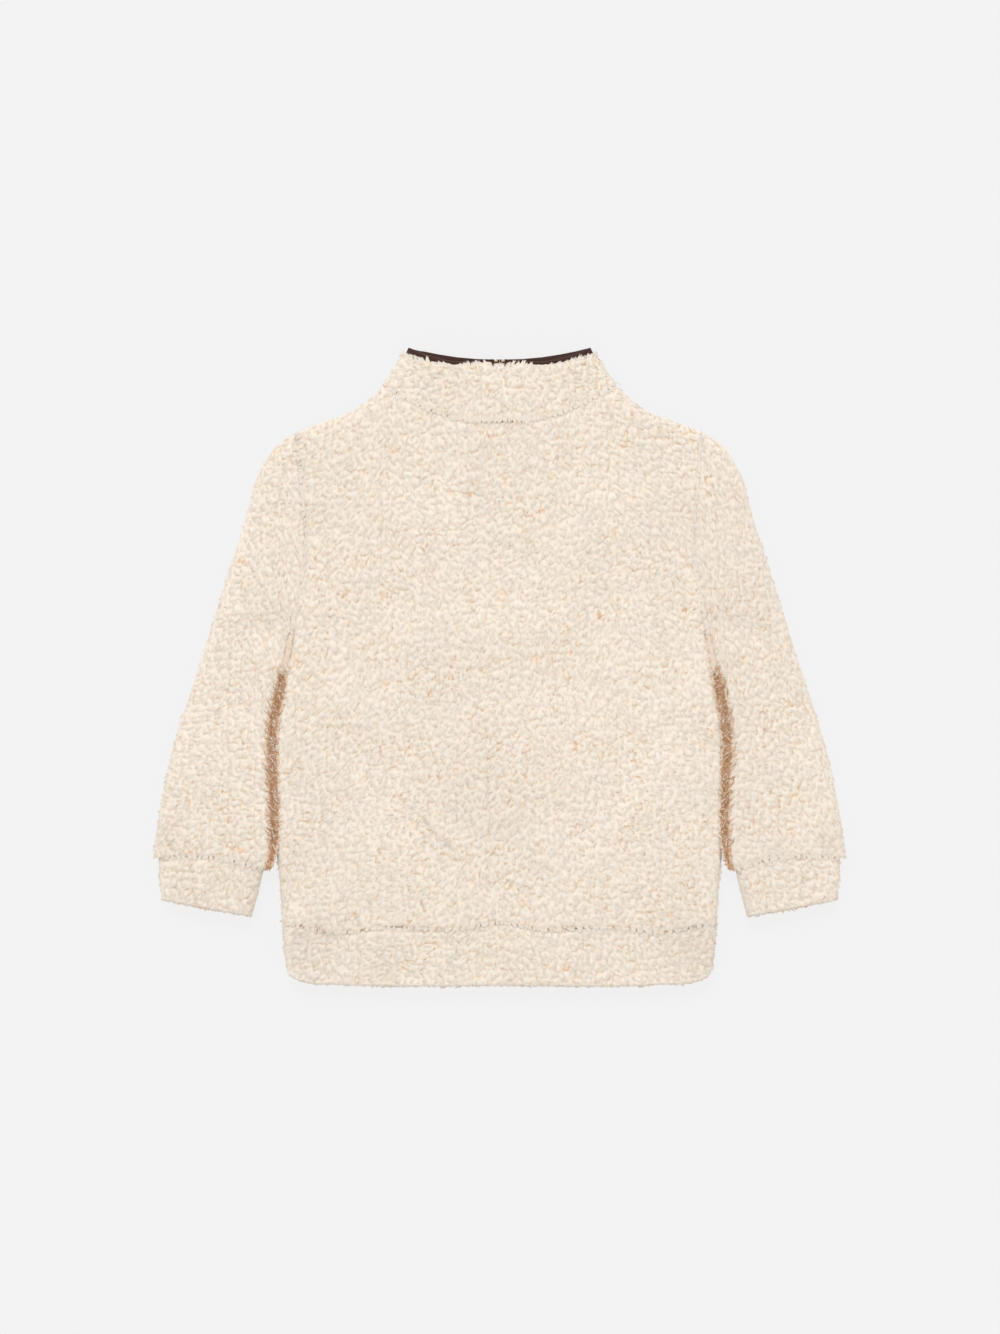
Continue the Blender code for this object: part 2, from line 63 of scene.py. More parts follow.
# Lines of one half on plan, each spot by how far out from the middle line and how far along it lies
SIDE_SEAM = (
    (141.3, -165.4), (143.6, -133), (145.4, -116), (146, -76.4), (146.8, -42), (142, -15.3), (135.2, 20.5),
)
ARMHOLE = ((135.2, 20.5), (131.3, 43.2), (126.7, 67.9), (125.5, 87.4), (126.7, 101), (130.9, 153.1))
SHOULDER = ((130.9, 153.1), (113.7, 159.6), (99.6, 164.8), (84.5, 174.3), (76, 183))
BACK_NECK = ((76, 183), (64.5, 176.6), (45, 167), (21.6, 160.3), (0, 159))
FRONT_NECK = ((76, 183), (64.5, 176.2), (44, 160), (20, 151), (0, 149))
COLLAR_SIDE = ((76, 183), (69.5, 192.6), (63.4, 203.4))
COLLAR_TOP = ((63.4, 203.4), (50, 199.2), (32, 196.6), (0, 197.3))
FRONT_BINDING_TOP = ((59.2, 207.7), (46, 204.8), (30, 202), (14, 200.5), (0, 200.2))
BACK_BINDING_TOP = ((59.2, 207.7), (48, 203.4), (31, 199.1), (12, 198.5), (0, 197.7))
HEM_SEAM = ((141.3, -165.4), (103.4, -171.9), (75.4, -168.7), (26, -169.7), (0, -165.6))
BAND_SIDE = ((141.3, -165.4), (140.2, -181), (138.6, -195.5))
BAND_BOTTOM = (
    (138.6, -195.5), (135.4, -201.2), (128.6, -204.4), (103.4, -206.6), (70.9, -207.7), (0, -207.2),
)
SLEEVE_OUTER = (
    (130.9, 153.1), (145, 143.3), (152.8, 132.3), (158, 122.5), (162.2, 105.6), (174.9, 64.7), (193.7, 4.9),
    (213.5, -58.8), (223.6, -112.1), (225, -124),
)
SLEEVE_INNER = (
    (135.2, 20.5), (142.6, -15.3), (147.4, -42), (146.6, -76.4), (146.6, -114), (148.4, -125),
    (151.6, -132.6),
)
CUFF_SEAM = ((225, -124), (196, -122.8), (183.6, -123.4), (165.1, -127.7), (151.6, -132.6))
CUFF_OUTER = ((221, -137), (219.5, -151.4))
CUFF_INNER = ((156.6, -146), (161, -162.4))
CUFF_END = ((219.5, -151.4), (190, -157.6), (161, -162.4))
NECK_BREAK = 0.21
UNDERARM_BREAK = 0.5
BINDING_SPAN = (0.016, 0.984)
CUFF_SPAN = (0.05, 0.975)
SEAM_GAP = 0.15

# How far the pile hangs over the collar's binding, after the distance out from the middle
OVERHANGS = (
    (0, -0.8), (5, -0.8), (6.5, 0.8), (9, 2.4), (13, 2.2), (21, 1.4), (24, -0.6), (32, -0.2), (44, 0.4),
    (47, 2), (57, 2.2), (64, 1.4),
)


class Fold(NamedTuple):
    """A soft ridge, or with a negative height a trough; in the table of painted light, a patch of painted
    highlight, and with a negative height a patch of painted shade.
    """

    across: float
    along: float
    turn: float
    length: float
    width: float
    height: float


def folds(*rows: tuple[float, ...]) -> list[Fold]:
    """Return rows of numbers as folds."""
    return [Fold(*row) for row in rows]


# The upper layer's folds: those on both halves, given for the right one, and small creases on one half alone
FOLDS = (
    folds(
        (71, -106, 58, 48, 12, 1.7), (0, -118, 90, 36, 22, -1.5), (84, 111, 4, 36, 10, 0.9),
        (77, 43, 20, 24, 12, -1.1), (42, 30, 2, 40, 11, 0.9), (96, -48, 12, 30, 12, -0.9),
        (154, 30, -16, 18, 6, -1.9), (153, 12, -20, 14, 7, 1.1), (186, -4, 72, 30, 9, -1.1),
        (196, -70, 78, 30, 12, 1.0), (214, -110, 60, 14, 9, -1.2), (128, -178, -28, 20, 10, -1.8),
    ),
    folds(
        (-30, -114, -51, 20, 5, 0.9), (-38, -111, -42, 21, 2.4, -1.0), (-175, -9, 84, 12, 1.8, -0.9),
        (-169, -32, 78, 10, 1.8, -0.8), (-92, -166, -54, 12, 2.2, -1.0), (43, 113, 84, 9, 1.8, -0.9),
        (181, -22, 92, 13, 1.9, -0.9), (108, -150, 40, 14, 2.2, -0.8),
    ),
)
# The underside's troughs, which lift the lower layer off the floor
TROUGHS = (
    folds(
        (70, -100, 60, 46, 11, 1.2), (0, -60, 90, 40, 16, 0.9), (88, 60, -20, 30, 9, 1.1),
        (40, 20, 10, 26, 7, 0.9), (104, -30, 78, 26, 6, 1.2), (112, 112, -60, 20, 7, 1.1),
        (158, 20, -18, 18, 6, 1.2), (188, -30, 74, 28, 7, 1.0), (200, -95, 70, 16, 5, 0.9),
        (126, -186, -30, 18, 8, 1.2), (58, -140, 24, 22, 6, 1.0),
    ),
    folds(
        (-46, -20, 38, 26, 3.2, 1.0), (62, -74, -35, 20, 3, 0.9), (-112, -122, 55, 18, 3.2, 1.0),
        (24, -158, -12, 24, 3.6, 0.8), (-176, -62, 80, 16, 3, 0.9), (183, 4, 70, 14, 3, 0.9),
        (-70, 132, 15, 16, 3, 0.9),
    ),
)
# Painted highlight and shade over the folds: how much paler or darker the pile is painted than its mean, paler
# on ridges and higher up, darker in troughs and towards the hem
FOLD_LIGHT_AND_SHADE = (
    folds(
        (71, -106, 58, 62, 13, 0.035), (0, -104, 90, 46, 26, -0.03), (0, -120, 0, 190, 95, -0.022),
        (0, -190, 0, 200, 20, -0.02), (128, -186, -28, 22, 16, -0.075), (62, 173, 28, 16, 8, 0.035),
        (188, -142, 0, 40, 16, -0.03), (216, -112, 60, 16, 10, -0.07), (154, 28, -16, 22, 4, -0.06),
        (151, 13, -20, 16, 6, 0.035), (60, 111, 2, 26, 5, 0.022), (44, 32, 2, 30, 5, 0.02),
    ),
    folds((-30, -114, -51, 24, 8, 0.045), (-38, -111, -42, 24, 2.4, -0.08)),
)
# Where the pile is combed one way: out, along, heading from 0 outwards to 270 at the hem, and reach
COMBS = (
    (0, 130, 270, 50), (60, 120, 285, 40), (110, 130, 300, 34), (0, 40, 268, 60), (80, 40, 250, 50),
    (125, 0, 262, 30), (0, -60, 272, 45), (95, -50, 318, 40), (0, -130, 275, 40), (70, -130, 340, 36),
    (120, -125, 305, 30), (60, -188, 322, 40), (120, -188, 314, 30), (0, -188, 285, 26), (150, 100, 288, 40),
    (165, 30, 310, 40), (185, -40, 318, 40), (195, -100, 314, 34), (190, -142, 306, 22), (0, 180, 282, 26),
    (45, 185, 335, 26), (20, 162, 270, 14),
)


class Side(Enum):
    """A side of the garment, as the sign of its X."""

    LEFT = -1.0
    RIGHT = 1.0


def half(spots: Spots, side: Side) -> list[tuple[float, float]]:
    """Return a half's spots on one side of the garment, as plan points."""
    return [(side.value * out, along) for out, along in spots]


def whole(spots: Spots) -> list[tuple[float, float]]:
    """Return a line from left to right, from a half that runs from its outer end to the middle."""
    return half(spots, Side.LEFT) + half(spots[:-1], Side.RIGHT)[::-1]


def smoothed(spots: Spots) -> Points:
    """Draw a smooth line through spots.

    Args:
        spots: Plan points in their order along the line.

    Returns:
        Points close enough together to read as a curve.
    """
    steps_between = 12
    knots = [Vector(spot) for spot in spots]
    steps = [far - near for near, far in zip(knots, knots[1:])]
    slopes = [step.normalized() for step in steps]
    tangents = [slopes[0]]
    for near, far, before, after in zip(steps, steps[1:], slopes, slopes[1:]):
        tangents.append((before * far.length + after * near.length) / (near.length + far.length))
    tangents.append(slopes[-1])
    points = [knots[0]]
    for index, step in enumerate(steps):
        reach = step.length / 3.0
        handle = knots[index] + tangents[index] * reach
        far_handle = knots[index + 1] - tangents[index + 1] * reach
        curve = interpolate_bezier(knots[index], handle, far_handle, knots[index + 1], steps_between)
        points.extend(curve[1:])
    return np.array([tuple(point) for point in points])


def in_batches(work: Callable[[Points], Values], points: Points) -> Values:
    """Do work on points, a batch at a time to spare memory, and join what it returns."""
    batch = 20000
    starts = range(0, len(points), batch) or [0]
    return np.concatenate([work(points[first:first + batch]) for first in starts])


def chain_distance(chain: Points, points: Points) -> Values:
    """Measure how far points lie from a chain of points.

    Args:
        chain: The chain's points in order.
        points: The points to measure from.

    Returns:
        The shortest distance of each point.
    """
    steps = np.diff(chain, axis=0)
    lengths = np.sum(steps * steps, axis=1)
    real = lengths > 0.0
    starts, steps, lengths = chain[:-1][real], steps[real], lengths[real]

    def measure(some: Points) -> Values:
        """Measure a batch of the points."""
        away = some[:, None, :] - starts
        shares = np.clip(np.sum(away * steps, axis=2) / lengths, 0.0, 1.0)
        rest = away - shares[:, :, None] * steps
        return np.sqrt(np.min(np.sum(rest * rest, axis=2), axis=1))

    return in_batches(measure, points)


def inside(outline: Points, points: Points) -> Values:
    """Tell which points lie inside an outline.

    Args:
        outline: The outline's corners in order.
        points: The points to test.

    Returns:
        True for each point inside.
    """
    start_x, start_y = outline.T
    end_x, end_y = np.roll(outline, -1, axis=0).T
    slope = (end_x - start_x) / np.where(end_y == start_y, 1e-9, end_y - start_y)

    def test(some: Points) -> Values:
        """Test a batch of the points."""
        across, along = some[:, :1], some[:, 1:]
        crossed = (start_y > along) != (end_y > along)
        return np.sum(crossed & (across < start_x + (along - start_y) * slope), axis=1) % 2 == 1

    return in_batches(test, points)


class PlanLine:
    """A line on plan made of smooth stretches, read by a share of its length from 0 to 1."""

    def __init__(self, *stretches: Spots, breaks: Sequence[float] = ()) -> None:
        """Join stretches of spots, where each after the first begins at its own share among the breaks."""
        self.stretches = [smoothed(stretch) for stretch in stretches]
        self.breaks = np.array([0.0, *breaks, 1.0])

    def at(self, shares: Values) -> Points:
        """Return the plan points at shares."""
        shares = np.atleast_1d(np.asarray(shares, float))
        index = np.searchsorted(self.breaks[1:-1], shares, side="right")
        found = np.zeros((len(shares), 2))
        for order, points in enumerate(self.stretches):
            low, high = self.breaks[order:order + 2]
            steps = np.linalg.norm(np.diff(points, axis=0), axis=1)
            lengths = np.concatenate(([0.0], np.cumsum(steps)))
            reached = (shares - low) / (high - low) * lengths[-1]
            read = np.stack([np.interp(reached, lengths, values) for values in points.T], axis=1)
            found = np.where((index == order)[:, None], read, found)
        return found

    def distance(self, points: Points) -> Values:
        """Return how far plan points lie from the line, only roughly where they are far from it."""
        near_enough, stride = 14.0, 6
        rough = [np.concatenate((chain[::stride], chain[-1:])) for chain in self.stretches]
        found = np.min([chain_distance(chain, points) for chain in rough], axis=0)
        near = found < near_enough
        if near.any():
            found[near] = np.min([chain_distance(chain, points[near]) for chain in self.stretches], axis=0)
        return found


@dataclass
class Span:
    """The part of a plan line between two of its shares."""

    line: PlanLine
    low: float
    high: float

    def at(self, shares: Values) -> Points:
        """Return the plan points at shares of the part."""
        return self.line.at(self.low + (self.high - self.low) * np.atleast_1d(shares))


def nearest(lines: Sequence[PlanLine], points: Points) -> Values:
    """Return the distance of plan points to the nearest of the lines."""
    far = 1000.0
    return np.min([np.full(len(points), far), *(line.distance(points) for line in lines)], axis=0)


@dataclass
class Patch:
    """A stretch of plan between a foot and a head line across it, and a left and a right line along it.

    Foot and head can be shifted, and the sides squeezed inwards, to leave a gap at a seam.
    """

    foot: PlanLine | Span
    head: PlanLine | Span
    left: PlanLine
    right: PlanLine
    foot_shift: tuple[float, float] = (0.0, 0.0)
    head_shift: tuple[float, float] = (0.0, 0.0)
    squeeze: float = 0.0

    def grid(self, across: Values, along: Values) -> Points:
        """Read the patch on a grid.

        Args:
            across: Shares across, one for each column.
            along: Shares along, one for each row.

        Returns:
            Plan points by row, column and axis.
        """
        u = across[None, :, None]
        v = along[:, None, None]
        upward = self.foot.at(across)[None] * (1.0 - v) + self.head.at(across)[None] * v
        sideways = self.left.at(along)[:, None] * (1.0 - u) + self.right.at(along)[:, None] * u
        low = self.foot.at(0.0)[None] * (1.0 - u) + self.foot.at(1.0)[None] * u
        high = self.head.at(0.0)[None] * (1.0 - u) + self.head.at(1.0)[None] * u
        points = upward + sideways - low * (1.0 - v) - high * v
        points = points + np.array(self.foot_shift) * (1.0 - v) + np.array(self.head_shift) * v
        points[..., 0] += self.squeeze * (1.0 - 2.0 * u[..., 0])
        return points

    def outline(self) -> Points:
        """Return the corners of the patch's border in order."""
        shares = np.linspace(0.0, 1.0, 60)
        grid = self.grid(shares, shares)
        return np.concatenate((grid[0, :-1], grid[:-1, -1], grid[-1, :0:-1], grid[:0:-1, 0]))

    def widths(self, along: Values) -> Values:
        """Return the widths at shares along."""
        return np.linalg.norm(self.right.at(along) - self.left.at(along), axis=1)


def crown(distance: Values, reach: float) -> Values:
    """Return 0 at a rounded edge and 1 from reach on, along a quarter of an ellipse."""
    share = np.clip(distance / reach, 0.0, 1.0)
    return np.sqrt(1.0 - (1.0 - share) ** 2)


def raised(points: Points, rows: tuple[Sequence[Fold], Sequence[Fold]]) -> Values:
    """Add up folds.

    Args:
        points: The plan points to read.
        rows: The folds that both halves have, and those that lie at their own X alone.

    Returns:
        How far the folds lift or lower each point.
    """
    height = np.zeros(len(points))
    for some, across in zip(rows, (np.abs(points[:, 0]), points[:, 0])):
        for fold in some:
            cos, sin = math.cos(math.radians(fold.turn)), math.sin(math.radians(fold.turn))
            out = across - fold.across
            up = points[:, 1] - fold.along
            lengthwise = (out * cos + up * sin) / fold.length
            crosswise = (up * cos - out * sin) / fold.width
            height += fold.height * np.exp(-lengthwise ** 2 - crosswise ** 2)
    return height


@dataclass
class Layers:
    """The heights of the two layers of fleece, one lying on the other, at a piece's edges, seams and ends."""

    rounded: list[PlanLine]
    seams: list[PlanLine] = field(default_factory=list)
    ends: list[PlanLine] = field(default_factory=list)
    top: float = 15.6
    underside: float = 0.0
    tallest: float = 18.0
    front_wall: float = 6.0
    back_inner: float = 7.6
    rim_height: float = 6.8
    rim_half: float = 1.3
    rim_gap: float = 0.15
    rim_width: float = 6.0
    back_rounding: float = 8.0
    front_rounding: float = 6.0
    lip: float = 2.2
    lip_rounding: float = 6.0
    seam_dip: float = 0.8
    seam_dip_reach: float = 4.5
    deepest_trough: float = 1.4

    def back(self, points: Points) -> Values:
        """Return the heights of the upper layer's outer face."""
        roundness = crown(nearest(self.rounded, points), self.back_rounding)
        rim = self.rim_height + self.rim_half
        dip = np.clip(1.0 - nearest(self.seams, points) / self.seam_dip_reach, 0.0, 1.0) ** 2
        height = rim + (self.top - rim + raised(points, FOLDS) - self.seam_dip * dip) * roundness
        lip = self.back_inner + self.lip
        limit = lip + (self.tallest - lip) * crown(nearest(self.ends, points), self.lip_rounding)
        return np.minimum(height, limit)

    def front(self, points: Points) -> Values:
        """Return the heights of the lower layer's outer face."""
        roundness = crown(nearest(self.rounded, points), self.front_rounding)
        rim = self.rim_height - self.rim_half
        troughs = np.clip(raised(points, TROUGHS), 0.0, self.deepest_trough)
        height = self.underside + (rim - self.underside) * (1.0 - roundness) + troughs * roundness
        limit = (self.front_wall - self.lip) * (1.0 - crown(nearest(self.ends, points), self.lip_rounding))
        return np.maximum(height, limit)

    def inner(self, points: Points, upper: bool) -> Values:
        """Return the heights of a layer's inner face, which meets the other's at a narrow rim."""
        height, gap = (self.back_inner, self.rim_gap) if upper else (self.front_wall, -self.rim_gap)
        rim = self.rim_height + gap
        ramp = np.clip(nearest(self.rounded, points) / self.rim_width * 2.0 - 1.0, 0.0, 1.0)
        return rim + (height - rim) * ramp


class Drift:
    """A smooth random field over plan, from -1 to 1."""

    def __init__(self, seed: int, pitch: float) -> None:
        """Draw the field's lattice, with a random value at each pitch."""
        self.pitch = pitch
        self.lattice = np.random.default_rng(seed).uniform(-1.0, 1.0, (64, 64))

    def at(self, points: Points) -> Values:
        """Return the field's values at plan points."""
        size = len(self.lattice)
        scaled = points / self.pitch
        cell = np.floor(scaled).astype(int)
        share = scaled - cell
        share = share * share * (3.0 - 2.0 * share)
        near_x, near_y = (cell % size).T
        far_x, far_y = ((cell + 1) % size).T
        low = self.lattice[near_x, near_y] * (1.0 - share[:, 0]) + self.lattice[far_x, near_y] * share[:, 0]
        high = self.lattice[near_x, far_y] * (1.0 - share[:, 0]) + self.lattice[far_x, far_y] * share[:, 0]
        return low * (1.0 - share[:, 1]) + high * share[:, 1]


class TuftReading(NamedTuple):
    """What the pile is at plan points."""

    edge: Values
    along: Values
    across: Values
    heading: Values
    accent: Values
    size: Values
    draw: Values
    tuft: Values

    def kept(self, chosen: np.ndarray) -> "TuftReading":
        """Return the reading at the chosen points alone."""
        return TuftReading(*(values[chosen] for values in self))


@dataclass
class Pile:
    """The teddy fleece's pile: tufts that lie the way they are combed, each with a round back and a tip."""

    pitch: float = 4.2
    stretch: float = 1.9
    taper: float = 0.15
    height: float = 0.6
    shoulder: float = 1.6
    crack_reach: float = 0.85
    waviness: float = 1.3
    swirl: float = 30.0
    stray: float = 14.0
    seed: int = 11
    furthest: float = 236.0

    def __post_init__(self) -> None:
        """Place the tufts on a lattice that is jittered, and comb each one."""
        random = np.random.default_rng(self.seed)
        self.reach = math.ceil(self.furthest / self.pitch)
        count = 2 * self.reach
        cells = np.stack(np.meshgrid(np.arange(count), np.arange(count), indexing="ij"), axis=-1) - self.reach
        jitter = random.uniform(0.08, 0.92, (count, count, 2))
        self.swirls = Drift(self.seed + 1, 34.0)
        self.waves = (Drift(self.seed + 2, 4.2), Drift(self.seed + 3, 4.2))
        self.accents = Drift(self.seed + 4, 17.0)
        self.spots = (cells + jitter) * self.pitch
        headings = self.combed(self.spots.reshape(-1, 2)).reshape(count, count)
        self.headings = headings + np.radians(random.uniform(-self.stray, self.stray, (count, count)))
        self.sizes = random.uniform(0.82, 1.2, (count, count))
        self.draws = random.uniform(0.0, 1.0, (count, count))

    def combed(self, points: Points) -> Values:
        """Return the way the pile is combed at plan points, as angles from +X in radians."""
        flow = np.zeros((len(points), 2))
        for out, along, heading, reach in COMBS:
            away = (np.abs(points[:, 0]) - out) ** 2 + (points[:, 1] - along) ** 2
            weight = np.exp(-away / reach ** 2) + 1e-6
            angle = math.radians(heading)
            flow += weight[:, None] * np.array([math.cos(angle), math.sin(angle)])
        flow[:, 0] *= np.where(points[:, 0] < 0.0, -1.0, 1.0)
        return np.arctan2(flow[:, 1], flow[:, 0]) + math.radians(self.swirl) * self.swirls.at(points)

    def read(self, points: Points) -> TuftReading:
        """Find the tuft that each plan point belongs to.

        Args:
            points: The plan points.

        Returns:
            How far inside its tuft each point lies, its place along and across it, the tuft's heading, how
            strongly the line at its edge is painted with shade, and the tuft's size, random draw and number.
        """
        bent = points + self.waviness * np.stack([wave.at(points) for wave in self.waves], axis=1)
        home = np.floor(bent / self.pitch).astype(int) + self.reach
        limit = 2 * self.reach - 1
        first = second = np.full(len(points), np.inf)
        other = np.zeros(len(points))
        best = [other] * 6
        for step in np.ndindex(5, 5):
            cell = tuple(np.clip(home + np.array(step) - 2, 0, limit).T)
            away = bent - self.spots[cell]
            heading, size, drawn = self.headings[cell], self.sizes[cell], self.draws[cell]
            cos, sin = np.cos(heading), np.sin(heading)
            along = away[:, 0] * cos + away[:, 1] * sin
            across = away[:, 1] * cos - away[:, 0] * sin
            width = across * (1.0 + self.taper * np.clip(along, -4.0, 4.0))
            found = np.hypot(along / self.stretch, width) / size
            closer = found < first
            other = np.where(closer, best[4], np.where(found < second, drawn, other))
            second = np.where(closer, first, np.minimum(found, second))
            first = np.where(closer, found, first)
            tuft = cell[0] * (limit + 1) + cell[1]
            candidate = (along, across, heading, size, drawn, tuft)
            best = [np.where(closer, new, old) for new, old in zip(candidate, best)]
        along, across, heading, size, draw, tuft = best
        return TuftReading(second - first, along, across, heading, np.modf(draw + other)[0], size, draw, tuft)

    def relief(self, reading: TuftReading) -> Values:
        """Return how high the pile stands at points that were read, above the lines between the tufts."""
        lean = 0.5 + 0.5 * np.clip(reading.along / (self.pitch * 0.8), -1.0, 1.0)
        return self.height * reading.size * crown(reading.edge, self.shoulder) * (0.72 + 0.28 * lean)

    def crevice(self, reading: TuftReading, points: Points) -> Values:
        """Return the painted shade in the lines between tufts, from 0 to 1: how deep in a line each point lies,
        deeper on some lines.
        """
        depth = np.clip(1.0 - reading.edge / self.crack_reach, 0.0, 1.0)
        accent = np.clip(reading.accent * 1.6 - 0.75 + 0.4 * self.accents.at(points), 0.0, 1.0)
        return depth * (0.31 + 0.5 * accent)


class Shade(NamedTuple):
    """A stretch of seam or gap where brown is painted on the pile as shade: evenly up to its half width, then
    fading out.
    """

    line: PlanLine
    low: float
    high: float
    half_width: float
    fade: float
    strength: float
    broken: float


# Stretches of painted shade, as in Shade: of lines that each side has, and of lines across the middle
SIDE_SHADES = (
    (SLEEVE_INNER, 0.0, 0.2, 0.8, 1.6, 0.85, 0.15),
    (SLEEVE_INNER, 0.17, 0.93, 2.6, 1.2, 0.9, 0.05),
    (SLEEVE_INNER, 0.9, 1.0, 0.8, 1.6, 0.75, 0.5),
    (ARMHOLE, 0.0, 0.16, 0.5, 1.5, 0.8, 0.2),
    (CUFF_SEAM, 0.1, 0.92, 0.3, 1.3, 0.5, 0.9),
    (CUFF_END, 0.2, 0.62, 0.3, 1.4, 0.8, 0.9),
)
MIDDLE_SHADES = (
    (HEM_SEAM, 0.0, 1.0, 0.4, 1.4, 0.62, 0.6),
    (BACK_NECK, 0.34, 0.66, 0.4, 1.4, 0.8, 0.5),
    (BACK_NECK, 0.08, 0.92, 0.4, 1.3, 0.6, 0.3),
)


@dataclass
class Shading:
    """Where shade is painted brown into the pile: in the gap between sleeve and body, and at seams."""

    seed: int = 31

    def __post_init__(self) -> None:
        """List the seams and gaps that are shaded."""
        self.breaks = Drift(self.seed, 5.0)
        self.gaps = [Shade(PlanLine(half(line, side)), *rest) for side in Side for line, *rest in SIDE_SHADES]
        self.gaps += [Shade(PlanLine(whole(line)), *rest) for line, *rest in MIDDLE_SHADES]

    def at(self, points: Points) -> Values:
        """Return how much brown is painted on the pile as shade at plan points, from 0 to 1."""
        painted_shade_brown = np.zeros(len(points))
        for gap in self.gaps:
            distance = chain_distance(gap.line.at(np.linspace(gap.low, gap.high, 40)), points)
            reach = gap.half_width + gap.fade
            near = distance < reach
            if near.any():
                holes = 1.0 - gap.broken * np.clip(0.5 + 1.3 * self.breaks.at(points[near]), 0.0, 1.0)
                inwards = np.clip((reach - distance[near]) / gap.fade, 0.0, 1.0)
                found = gap.strength * holes * inwards * inwards * (3.0 - 2.0 * inwards)
                painted_shade_brown[near] = np.maximum(painted_shade_brown[near], found)
        return painted_shade_brown


PILE = Pile()
SHADING = Shading()


class MeshParts:
    """Points and faces of one piece, with its shade and its place in the pile at each point."""

    def __init__(self) -> None:
        """Start with nothing."""
        self.points: list[Points] = []
        self.shades: list[Values] = []
        self.strands: list[Points] = []
        self.faces: list[np.ndarray] = []
        self.normals: list[Points] = []
        self.count = 0

    def add_points(self, points: Points, shades: Values, strands: Points) -> np.ndarray:
        """Add points.

        Args:
            points: Their places in millimetres, one row each.
            shades: How brown each one is.
            strands: Their places along and across their tufts.

        Returns:
            The numbers by which faces name them.
        """
        self.points.append(points)
        self.shades.append(np.broadcast_to(shades, len(points)))
        self.strands.append(strands)
        self.count += len(points)
        return np.arange(self.count - len(points), self.count)

    def add_quads(self, grid: np.ndarray) -> None:
        """Add a face in each cell of a grid of point numbers."""
        corners = (grid[:-1, :-1], grid[:-1, 1:], grid[1:, 1:], grid[1:, :-1])
        self.faces.append(np.stack([corner.ravel() for corner in corners], axis=1))

    def add_rim(self, fine: np.ndarray, plain: np.ndarray, turned: bool) -> None:
        """Close the wall between a fine border and a plain one.

        Args:
            fine: The numbers of the fine border's points.
            plain: Those of the plain border's, of which there are fewer.
            turned: Whether the faces point the other way.
        """
        coarse = (len(fine) - 1) // (len(plain) - 1)
        faces = []
        for order in range(len(plain) - 1):
            face = [*fine[order * coarse:(order + 1) * coarse + 1], plain[order + 1], plain[order]]
            faces.append(face[::-1] if turned else face)
        self.faces.append(np.array(faces))

    def to_object(self, name: str, material: bpy.types.Material) -> bpy.types.Object:
        """Make the piece.

        Args:
            name: Its name.
            material: Its finish.

        Returns:
            The object, smooth, with its place in its mesh.
        """
        points = np.concatenate(self.points)
        corners = np.concatenate([faces.ravel() for faces in self.faces])
        totals = np.concatenate([np.full(len(faces), faces.shape[1]) for faces in self.faces])
        starts = np.concatenate(([0], np.cumsum(totals)[:-1]))
        mesh = bpy.data.meshes.new(name)
        mesh.vertices.add(len(points))
        mesh.vertices.foreach_set("co", (points * MM).astype(np.float32).ravel())
        mesh.loops.add(len(corners))
        mesh.loops.foreach_set("vertex_index", corners.astype(np.int32))
        mesh.polygons.add(len(totals))
        mesh.polygons.foreach_set("loop_start", starts.astype(np.int32))
        mesh.update(calc_edges=True)
        # shade browns each point, as painted shade and partly the roots' own tone; tone is painted highlight
        # and shade over the folds
        readings = {"shade": np.concatenate(self.shades), "tone": 1.0 + raised(points[:, :2], FOLD_LIGHT_AND_SHADE)}
        for kind, values in readings.items():
            attribute = mesh.attributes.new(kind, "FLOAT", "POINT")
            attribute.data.foreach_set("value", values.astype(np.float32))
        layer = mesh.uv_layers.new(name="strand")
        strands = np.concatenate(self.strands)[corners]
        layer.uv.foreach_set("vector", (strands * 0.1).astype(np.float32).ravel())
        mesh.validate()
        mesh.shade_smooth()
        if self.normals:
            mesh.normals_split_custom_set_from_vertices(np.concatenate(self.normals))
        piece = bpy.data.objects.new(name, mesh)
        piece.data.materials.append(material)
        bpy.context.scene.collection.objects.link(piece)
        return piece


